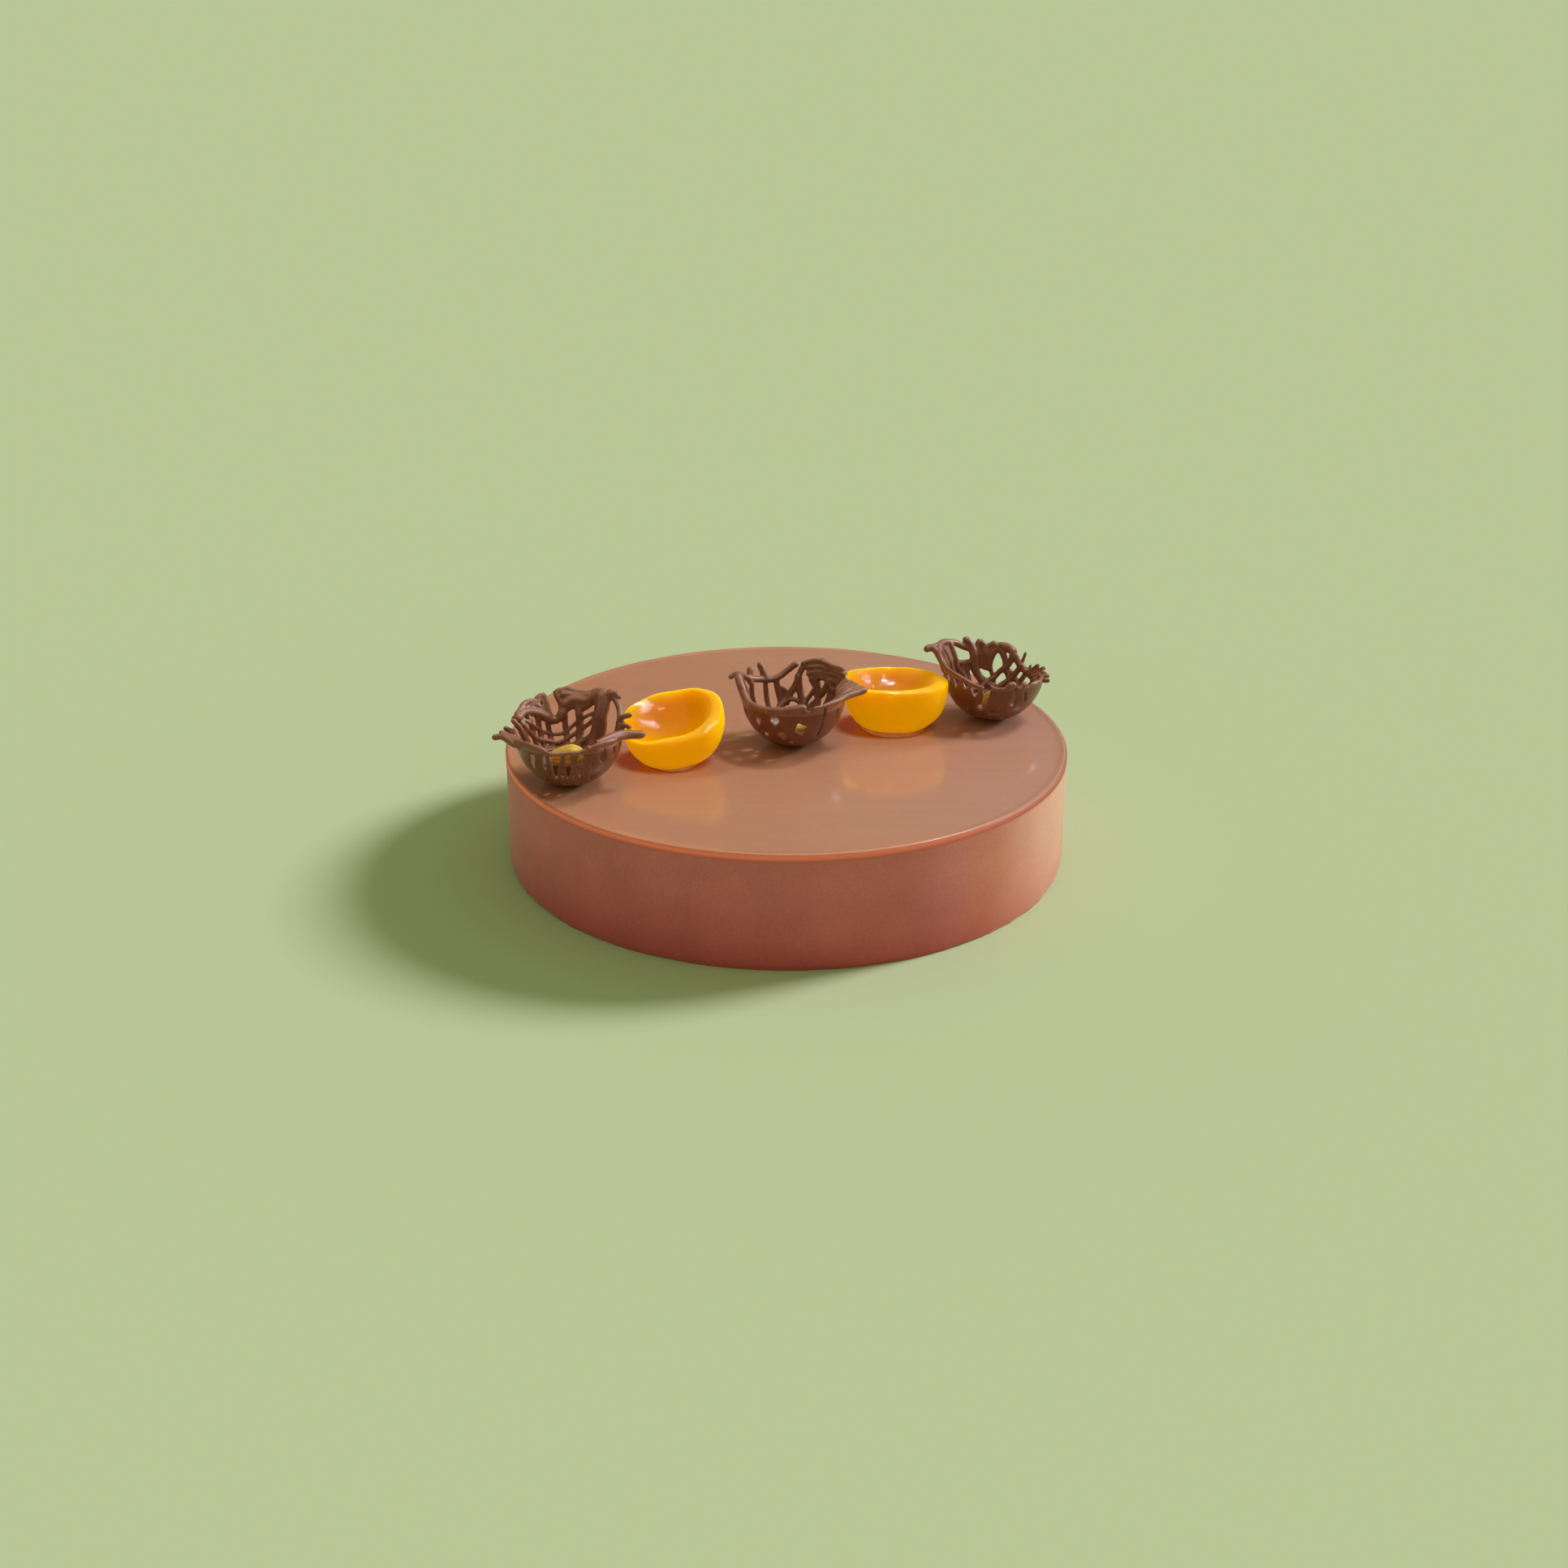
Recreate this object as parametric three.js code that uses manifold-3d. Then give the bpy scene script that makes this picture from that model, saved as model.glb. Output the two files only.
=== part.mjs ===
// Apricot torte: a round mousse torte with a poured glaze. Two apricot halves and three
// piped chocolate baskets stand in a row across its top, and each basket holds a pistachio.
//
// Millimetres, +Z up. The origin is the middle of the underside. The torte's front is -Y.

import * as THREE from 'three';
import { ParametricGeometry } from 'three/addons/geometries/ParametricGeometry.js';
import { mergeVertices } from 'three/addons/utils/BufferGeometryUtils.js';
import Module from 'manifold-3d';

const wasm = await Module();
wasm.setup();

// The torte, set in a cake ring of 24 cm across and 5 cm high
const TORTE_RADIUS = 120;
const TORTE_HEIGHT = 50;
const FOOT_TUCK = 1.2; // how far the side draws in at the foot
const TORTE_SEGMENTS = 72;

// The glaze poured on the mousse, out to the ring
const GLAZE_THICKNESS = 3;
const GLAZE_EDGE_RADIUS = 1.2;
const GLAZE_RISE = 0.5; // where it crept up the ring
const GLAZE_RISE_WIDTH = 5;
const GLAZE_LEVEL = TORTE_HEIGHT - GLAZE_RISE; // the level that the toppings stand on

// The baskets, piped in a hemispherical mould of 44 mm
const MOULD_RADIUS = 22;
const BASKET_WALL = 1.8;
const BASKET_FLOOR = 2.4;
const BASKET_FLAT = 3.2; // radius of the spot it stands on
const BASKET_SEGMENTS = 28;
const BASKET_ROWS = 5;
const RIM_ROWS = 2;
const RIM_LEAST = 0.8; // how far the lowest rim stands above the hemisphere
const RIM_WAVE = 0.5;
const RIM_WAVES = 11;
const FINGER_RADIUS = 1.7;
const SLOT_CUT = 8; // depth of the cutter that opens a slot in the wall

// The apricot halves, canned and stoned
const LIP_RADIUS = 2.4;
const APRICOT_SEGMENTS = 26;
const OUTSIDE_ROWS = 6;
const LIP_ROWS = 3;
const PIT_ROWS = 5;
const RESTING_SINK = 0.9; // how much of the round underside is pressed flat

// The pistachio kernels
const KERNEL = { length: 15.6, width: 9.2, height: 8.6 };
const KERNEL_TAPER = 0.2;

const MOUSSE = { color: 0x8e5640, roughness: 0.75, metalness: 0 };
const GLAZE = { color: 0xb47c5d, roughness: 0.18, metalness: 0 };
const CHOCOLATE = { color: 0x5c3a2a, roughness: 0.4, metalness: 0 };
const APRICOT = { color: 0xe3990c, roughness: 0.15, metalness: 0 };
const PISTACHIO = { color: 0xb59a2c, roughness: 0.45, metalness: 0 };

const radians = THREE.MathUtils.degToRad;
const TURN = 2 * Math.PI;

// The slots and lobes of each basket are given by their bearing round it in degrees, where
// 0 is +X and 90 the back, and slots by their climb up the wall, where 0 is the middle of
// the floor and 90 the rim. A lobe is a stretch of rim that reaches up and flares outwards,
// and a finger is a thick drip that ran out over the mould's edge.
const BASKETS = [
  {
    side: 'left',
    middle: [-88.3, -48],
    lobes: [
      { bearing: 70, spread: 27, reach: 9, flare: 30 },
      { bearing: 138, spread: 17, reach: 7.5, flare: 34 },
      { bearing: 0, spread: 22, reach: 3, flare: 60 },
      { bearing: 188, spread: 16, reach: 2.5, flare: 70 },
    ],
    fingers: [
      { bearing: 194, reach: 8.5, rise: 1 },
      { bearing: 352, reach: 9, rise: 2 },
      { bearing: 176, reach: 5.5, rise: 3.5 },
    ],
    slots: [
      { from: 48, to: 152, count: 5, low: 46, high: 62, width: 4.4, lean: 10 },
      { from: 36, to: 164, count: 7, low: 68, high: 84, width: 5.6, lean: -8 },
      { from: 220, to: 330, count: 6, low: 56, high: 82, width: 3.4, lean: 0 },
    ],
    kernel: { offset: [-2.2, 5.4, -12.6], turn: 186, tip: -6 },
  },
  {
    side: 'middle',
    middle: [2.9, -3.6],
    lobes: [
      { bearing: 60, spread: 25, reach: 8.5, flare: 20 },
      { bearing: 128, spread: 9, reach: 5, flare: 10 },
      { bearing: 158, spread: 14, reach: 4.5, flare: 50 },
      { bearing: 358, spread: 16, reach: 4.5, flare: 75 },
    ],
    fingers: [
      { bearing: 356, reach: 9.5, rise: 2.5 },
      { bearing: 5, reach: 6, rise: 5 },
    ],
    slots: [
      { from: 98, to: 162, count: 4, low: 50, high: 84, width: 5, lean: 0 },
      { from: 28, to: 80, count: 3, low: 56, high: 84, width: 5.4, lean: 24 },
      { from: 205, to: 262, count: 4, low: 58, high: 68, width: 2.4, lean: 18 },
      { from: 282, to: 282, count: 1, low: 50, high: 60, width: 3.6, lean: 12 },
      { from: 308, to: 308, count: 1, low: 52, high: 86, width: 1.6, lean: -10 },
    ],
    kernel: { offset: [1.5, -3, -14.2], turn: 30, tip: 0 },
  },
  {
    side: 'right',
    middle: [90.6, 28.2],
    lobes: [
      { bearing: 160, spread: 22, reach: 6, flare: 26 },
      { bearing: 112, spread: 14, reach: 6, flare: 12 },
      { bearing: 70, spread: 22, reach: 4, flare: 15 },
      { bearing: 4, spread: 18, reach: 3.5, flare: 75 },
    ],
    fingers: [
      { bearing: 158, reach: 6.5, rise: 7 },
      { bearing: 346, reach: 5, rise: -0.5 },
      { bearing: 6, reach: 6, rise: 1 },
    ],
    slots: [
      { from: 92, to: 142, count: 3, low: 60, high: 84, width: 6, lean: -10 },
      { from: 30, to: 70, count: 3, low: 52, high: 66, width: 4.4, lean: 30 },
      { from: 24, to: 72, count: 4, low: 70, high: 86, width: 4.4, lean: -24 },
      { from: 192, to: 234, count: 3, low: 62, high: 76, width: 3, lean: 8 },
      { from: 258, to: 258, count: 1, low: 48, high: 84, width: 2, lean: -6 },
      { from: 296, to: 322, count: 2, low: 58, high: 74, width: 2, lean: 0 },
    ],
    kernel: { offset: [-1, -10, -10.6], turn: -90, tip: 45 },
  },
];

// Each half lies on its round back with the cut face up. roll lifts its +X side and pitch
// its back, in degrees. The stone sat off the middle by stoneShift, which leaves one side
// of the flesh broader.
const APRICOTS = [
  {
    side: 'left',
    middle: [-47.6, -25.6],
    width: 43,
    depth: 42,
    height: 20.5,
    squareness: 2.5,
    roll: 12,
    pitch: 11,
    pit: { radius: 0.76, depth: 10 },
    stoneShift: [-2.4, 1],
  },
  {
    side: 'right',
    middle: [46.9, 16],
    width: 46.8,
    depth: 43,
    height: 23,
    squareness: 2.2,
    roll: 0,
    pitch: -5,
    pit: { radius: 0.74, depth: 9 },
    stoneShift: [-3.6, 0],
  },
];

// A closed geometry as a solid, with the slivers at its poles left out
function solidOf(geometry) {
  const bare = geometry.clone();
  bare.deleteAttribute('normal');
  bare.deleteAttribute('uv');
  const merged = mergeVertices(bare, 1e-4);
  const corners = merged.index.array;
  const kept = [];
  for (let i = 0; i < corners.length; i += 3) {
    const [a, b, c] = corners.slice(i, i + 3);
    if (a !== b && b !== c && c !== a) kept.push(a, b, c);
  }
  const vertProperties = new Float32Array(merged.attributes.position.array);
  const triVerts = new Uint32Array(kept);
  return new wasm.Manifold(new wasm.Mesh({ numProp: 3, vertProperties, triVerts }));
}

function geometryOf(solid) {
  const { vertProperties, triVerts } = solid.getMesh();
  const geometry = new THREE.BufferGeometry();
  geometry.setAttribute('position', new THREE.BufferAttribute(vertProperties, 3));
  geometry.setIndex(new THREE.BufferAttribute(triVerts, 1));
  geometry.computeVertexNormals();
  return geometry;
}

function named(name, geometry, material) {
  const mesh = new THREE.Mesh(geometry, new THREE.MeshStandardMaterial(material));
  mesh.name = name;
  return mesh;
}

// A profile of [radius, height] corners turned about the upright axis
function turned(corners) {
  const profile = corners.map(([radius, height]) => new THREE.Vector2(radius, height));
  return new THREE.LatheGeometry(profile, TORTE_SEGMENTS).rotateX(Math.PI / 2);
}

// The mousse under the glaze: straight sides from the ring, drawn in a little at the foot
function torteBody() {
  return turned([
    [0, 0],
    [TORTE_RADIUS - FOOT_TUCK, 0],
    [TORTE_RADIUS - FOOT_TUCK / 4, FOOT_TUCK],
    [TORTE_RADIUS, 3 * FOOT_TUCK],
    [TORTE_RADIUS, TORTE_HEIGHT - GLAZE_THICKNESS],
    [0, TORTE_HEIGHT - GLAZE_THICKNESS],
  ]);
}

// The glaze: a thin disc with a rounded edge, a little higher along the rim
function glazeLayer() {
  const corners = [
    [0, TORTE_HEIGHT - GLAZE_THICKNESS],
    [TORTE_RADIUS, TORTE_HEIGHT - GLAZE_THICKNESS],
  ];
  const steps = 2;
  for (let i = 0; i <= steps; i++) {
    const angle = radians((90 * i) / steps);
    corners.push([
      TORTE_RADIUS - GLAZE_EDGE_RADIUS * (1 - Math.cos(angle)),
      TORTE_HEIGHT - GLAZE_EDGE_RADIUS * (1 - Math.sin(angle)),
    ]);
  }
  corners.push([TORTE_RADIUS - GLAZE_RISE_WIDTH, GLAZE_LEVEL], [0, GLAZE_LEVEL]);
  return turned(corners);
}

// How far the rim reaches above the hemisphere at a bearing, and how much it flares there
function rimAt(basket, bearing) {
  let reach = RIM_LEAST + RIM_WAVE * Math.sin(RIM_WAVES * bearing);
  let flare = 0;
  for (const lobe of basket.lobes) {
    const away = Math.atan2(
      Math.sin(bearing - radians(lobe.bearing)),
      Math.cos(bearing - radians(lobe.bearing)),
    );
    const share = Math.exp(-((away / radians(lobe.spread)) ** 2));
    reach += share * lobe.reach;
    flare += share * radians(lobe.flare);
  }
  return { reach, flare };
}

// Height of the mould's centre over the spot that the basket stands on
function mouldHeight() {
  return Math.sqrt(MOULD_RADIUS ** 2 - BASKET_FLAT ** 2);
}

// A point of a basket's wall about the mould's centre. climb is in radians up to the rim of
// the hemisphere, and past is the share of the rim's reach above that.
function wallPoint(basket, bearing, climb, past, isInside, target) {
  let radius = MOULD_RADIUS * Math.sin(climb);
  let height = Math.max(-MOULD_RADIUS * Math.cos(climb), -mouldHeight());
  if (isInside) {
    radius = (MOULD_RADIUS - BASKET_WALL) * Math.sin(climb);
    height = -(mouldHeight() - BASKET_FLOOR) * Math.cos(climb);
  }
  if (past > 0) {
    const { reach, flare } = rimAt(basket, bearing);
    const thickness = isInside ? BASKET_WALL : 0;
    const lean = flare * past;
    radius = MOULD_RADIUS + Math.sin(lean) * reach * past - Math.cos(lean) * thickness;
    height = Math.cos(lean) * reach * past + Math.sin(lean) * thickness;
  }
  target.set(radius * Math.cos(bearing), radius * Math.sin(bearing), height);
}

// The basket's wall before its slots are opened: up the outside, over the rim, down inside
function basketShell(basket) {
  const side = BASKET_ROWS + RIM_ROWS;
  const flatClimb = Math.asin(BASKET_FLAT / MOULD_RADIUS);
  const place = (u, v, target) => {
    const row = Math.round(v * (2 * side + 1));
    const isInside = row > side;
    const up = isInside ? 2 * side + 1 - row : row;
    const climbRow = Math.min(up, BASKET_ROWS);
    const climb =
      climbRow === 0 ? 0 : THREE.MathUtils.lerp(flatClimb, Math.PI / 2, (climbRow - 1) / (BASKET_ROWS - 1));
    wallPoint(basket, u * TURN, climb, Math.max(0, up - BASKET_ROWS) / RIM_ROWS, isInside, target);
  };
  return new ParametricGeometry(place, BASKET_SEGMENTS, 2 * side + 1);
}

// A pointed slot, as the gap between drizzled strands is, cut straight out from the middle
function slotCutter(slot, bearing) {
  const climb = radians((slot.low + slot.high) / 2);
  const half = (MOULD_RADIUS * radians(slot.high - slot.low)) / 2;
  const shape = new THREE.Shape();
  shape.moveTo(0, -half);
  shape.lineTo(slot.width / 2, -half / 3);
  shape.lineTo(slot.width / 2, half / 3);
  shape.lineTo(0, half);
  shape.lineTo(-slot.width / 2, half / 3);
  shape.lineTo(-slot.width / 2, -half / 3);
  shape.closePath();
  const cutter = new THREE.ExtrudeGeometry(shape, { depth: SLOT_CUT, bevelEnabled: false });
  cutter.translate(0, 0, MOULD_RADIUS - SLOT_CUT / 2);
  cutter.rotateZ(radians(slot.lean));
  // The slot's own +Y runs up the wall once it is turned to its climb and its bearing
  cutter.rotateX(Math.PI - climb);
  cutter.rotateZ(bearing + Math.PI / 2);
  return solidOf(cutter);
}

// A thick drip over the rim, from inside the wall out to its round tip
function finger(drip) {
  const bearing = radians(drip.bearing);
  const along = (radius, height) =>
    new THREE.Vector3(radius * Math.cos(bearing), radius * Math.sin(bearing), height);
  const path = new THREE.CatmullRomCurve3([
    along(MOULD_RADIUS - BASKET_WALL / 2, -1),
    along(MOULD_RADIUS + drip.reach / 3, drip.rise / 2 + 0.5),
    along(MOULD_RADIUS + drip.reach, drip.rise),
  ]);
  const section = new THREE.Shape();
  const sides = 6;
  for (let i = 0; i <= sides; i++) {
    const angle = (TURN * i) / sides;
    const corner = [FINGER_RADIUS * Math.cos(angle), FINGER_RADIUS * Math.sin(angle)];
    if (i === 0) section.moveTo(...corner);
    else section.lineTo(...corner);
  }
  return solidOf(new THREE.ExtrudeGeometry(section, { steps: 5, extrudePath: path }));
}

function chocolateBasket(basket) {
  let solid = solidOf(basketShell(basket));
  for (const slot of basket.slots) {
    for (let i = 0; i < slot.count; i++) {
      const share = slot.count > 1 ? i / (slot.count - 1) : 0;
      const bearing = radians(THREE.MathUtils.lerp(slot.from, slot.to, share));
      solid = solid.subtract(slotCutter(slot, bearing));
    }
  }
  for (const drip of basket.fingers) {
    solid = solid.add(finger(drip));
  }
  return geometryOf(solid);
}

// A stoned half: up its round back, over the soft lip and down into the hollow of the stone
function apricotHalf(half) {
  const rows = OUTSIDE_ROWS + LIP_ROWS + PIT_ROWS;
  const outline = (bearing) =>
    (Math.abs(Math.cos(bearing)) ** half.squareness + Math.abs(Math.sin(bearing)) ** half.squareness) **
    (-1 / half.squareness);
  const lip = LIP_RADIUS / (half.width / 2);
  const place = (u, v, target) => {
    const row = Math.round(v * rows);
    const bearing = u * TURN;
    let reach;
    let height;
    let shift = 0;
    if (row <= OUTSIDE_ROWS) {
      const climb = radians((90 * row) / OUTSIDE_ROWS);
      reach = Math.sin(climb) ** 0.85;
      height = -LIP_RADIUS - (half.height - LIP_RADIUS) * Math.cos(climb);
    } else if (row <= OUTSIDE_ROWS + LIP_ROWS) {
      const over = radians((90 * (row - OUTSIDE_ROWS)) / LIP_ROWS);
      reach = 1 - lip * (1 - Math.cos(over));
      height = -LIP_RADIUS * (1 - Math.sin(over));
    } else {
      const down = (row - OUTSIDE_ROWS - LIP_ROWS) / PIT_ROWS;
      const slope = radians(90 * (1 - down));
      reach = half.pit.radius * Math.sin(slope);
      height = -half.pit.depth * Math.cos(slope) - 0.4;
      shift = 1;
    }
    const wide = reach * outline(bearing);
    target.set(
      (half.width / 2) * wide * Math.cos(bearing) + shift * half.stoneShift[0],
      (half.depth / 2) * wide * Math.sin(bearing) + shift * half.stoneShift[1],
      height,
    );
  };
  const shape = new ParametricGeometry(place, APRICOT_SEGMENTS, rows);
  shape.rotateY(-radians(half.roll));
  shape.rotateX(radians(half.pitch));
  shape.computeBoundingBox();
  const lowest = shape.boundingBox.min.z;
  shape.translate(half.middle[0], half.middle[1], GLAZE_LEVEL - RESTING_SINK - lowest);
  const under = new THREE.BoxGeometry(2 * half.width, 2 * half.depth, GLAZE_LEVEL);
  under.translate(half.middle[0], half.middle[1], GLAZE_LEVEL / 2);
  return geometryOf(solidOf(shape).subtract(solidOf(under)));
}

// A shelled kernel, thicker at one end
function pistachioKernel() {
  const kernel = new THREE.SphereGeometry(0.5, 12, 8).rotateZ(Math.PI / 2);
  const place = kernel.attributes.position;
  for (let i = 0; i < place.count; i++) {
    const taper = 1 - KERNEL_TAPER * 2 * place.getX(i);
    place.setXYZ(
      i,
      KERNEL.length * place.getX(i),
      KERNEL.width * place.getY(i) * taper,
      KERNEL.height * place.getZ(i) * taper,
    );
  }
  return geometryOf(solidOf(kernel));
}

const torte = new THREE.Group();
torte.add(named('torte_body', torteBody(), MOUSSE));
torte.add(named('glaze_layer', glazeLayer(), GLAZE));

for (const basket of BASKETS) {
  const place = new THREE.Group();
  place.position.set(...basket.middle, GLAZE_LEVEL + mouldHeight());
  place.add(named(`chocolate_basket_${basket.side}`, chocolateBasket(basket), CHOCOLATE));
  const kernel = named(`pistachio_${basket.side}`, pistachioKernel(), PISTACHIO);
  kernel.position.set(...basket.kernel.offset);
  kernel.rotation.set(0, -radians(basket.kernel.tip), radians(basket.kernel.turn), 'ZYX');
  place.add(kernel);
  torte.add(place);
}

for (const half of APRICOTS) {
  torte.add(named(`apricot_half_${half.side}`, apricotHalf(half), APRICOT));
}

export default torte;
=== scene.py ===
import math

import bmesh
import bpy
from bpy.props import FloatProperty, FloatVectorProperty, IntProperty, PointerProperty
from mathutils import Matrix, Vector, noise


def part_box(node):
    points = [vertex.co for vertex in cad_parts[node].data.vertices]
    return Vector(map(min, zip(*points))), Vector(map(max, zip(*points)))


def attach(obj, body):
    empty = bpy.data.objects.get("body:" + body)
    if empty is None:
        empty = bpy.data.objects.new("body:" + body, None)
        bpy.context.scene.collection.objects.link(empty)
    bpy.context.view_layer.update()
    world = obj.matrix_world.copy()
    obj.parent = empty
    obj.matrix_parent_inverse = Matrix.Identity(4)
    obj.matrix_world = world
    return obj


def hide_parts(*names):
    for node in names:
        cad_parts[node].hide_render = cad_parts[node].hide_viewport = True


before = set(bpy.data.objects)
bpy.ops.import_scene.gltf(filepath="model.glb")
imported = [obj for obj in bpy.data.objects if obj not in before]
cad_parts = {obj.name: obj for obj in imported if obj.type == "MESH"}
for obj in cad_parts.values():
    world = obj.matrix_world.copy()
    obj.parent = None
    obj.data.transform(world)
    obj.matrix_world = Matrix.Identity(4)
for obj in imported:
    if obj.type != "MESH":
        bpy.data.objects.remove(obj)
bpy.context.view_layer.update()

bl_info = {
    "name": "Apricot torte",
    "version": (1, 0, 0),
    "blender": (4, 5, 0),
    "location": "3D View > Sidebar > Torte",
    "description": "Glazed mousse torte with apricot halves, piped chocolate baskets and pistachios",
    "category": "Add Mesh",
}

MM = 0.001


def mm(*values):
    """Millimetres as metres, one value or a vector."""
    if len(values) == 1:
        return values[0] * MM
    return Vector(values) * MM


def linear(hex_colour):
    """An sRGB hex colour as the linear values that shaders work in."""
    channels = [int(hex_colour[i:i + 2], 16) / 255 for i in (0, 2, 4)]
    return [c / 12.92 if c <= 0.04045 else ((c + 0.055) / 1.055) ** 2.4 for c in channels]


# ---------------------------------------------------------------------------------------
# Sizes. Those that the frame holds are read from it.

BODY_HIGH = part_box("torte_body")[1]
GLAZE_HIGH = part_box("glaze_layer")[1]
RIM_RISE = mm(0.5)  # how far the glaze crept up the ring
SERVING_LEVEL = GLAZE_HIGH.z - RIM_RISE  # the toppings stand here
CLOSE = mm(0.01)  # points no further apart than this are one point

MOULD_RADIUS = mm(22)
FLAT_SPOT = mm(3.2)  # radius of the spot that a basket stands on
MOULD_HEIGHT = SERVING_LEVEL + math.sqrt(MOULD_RADIUS ** 2 - FLAT_SPOT ** 2)

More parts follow.
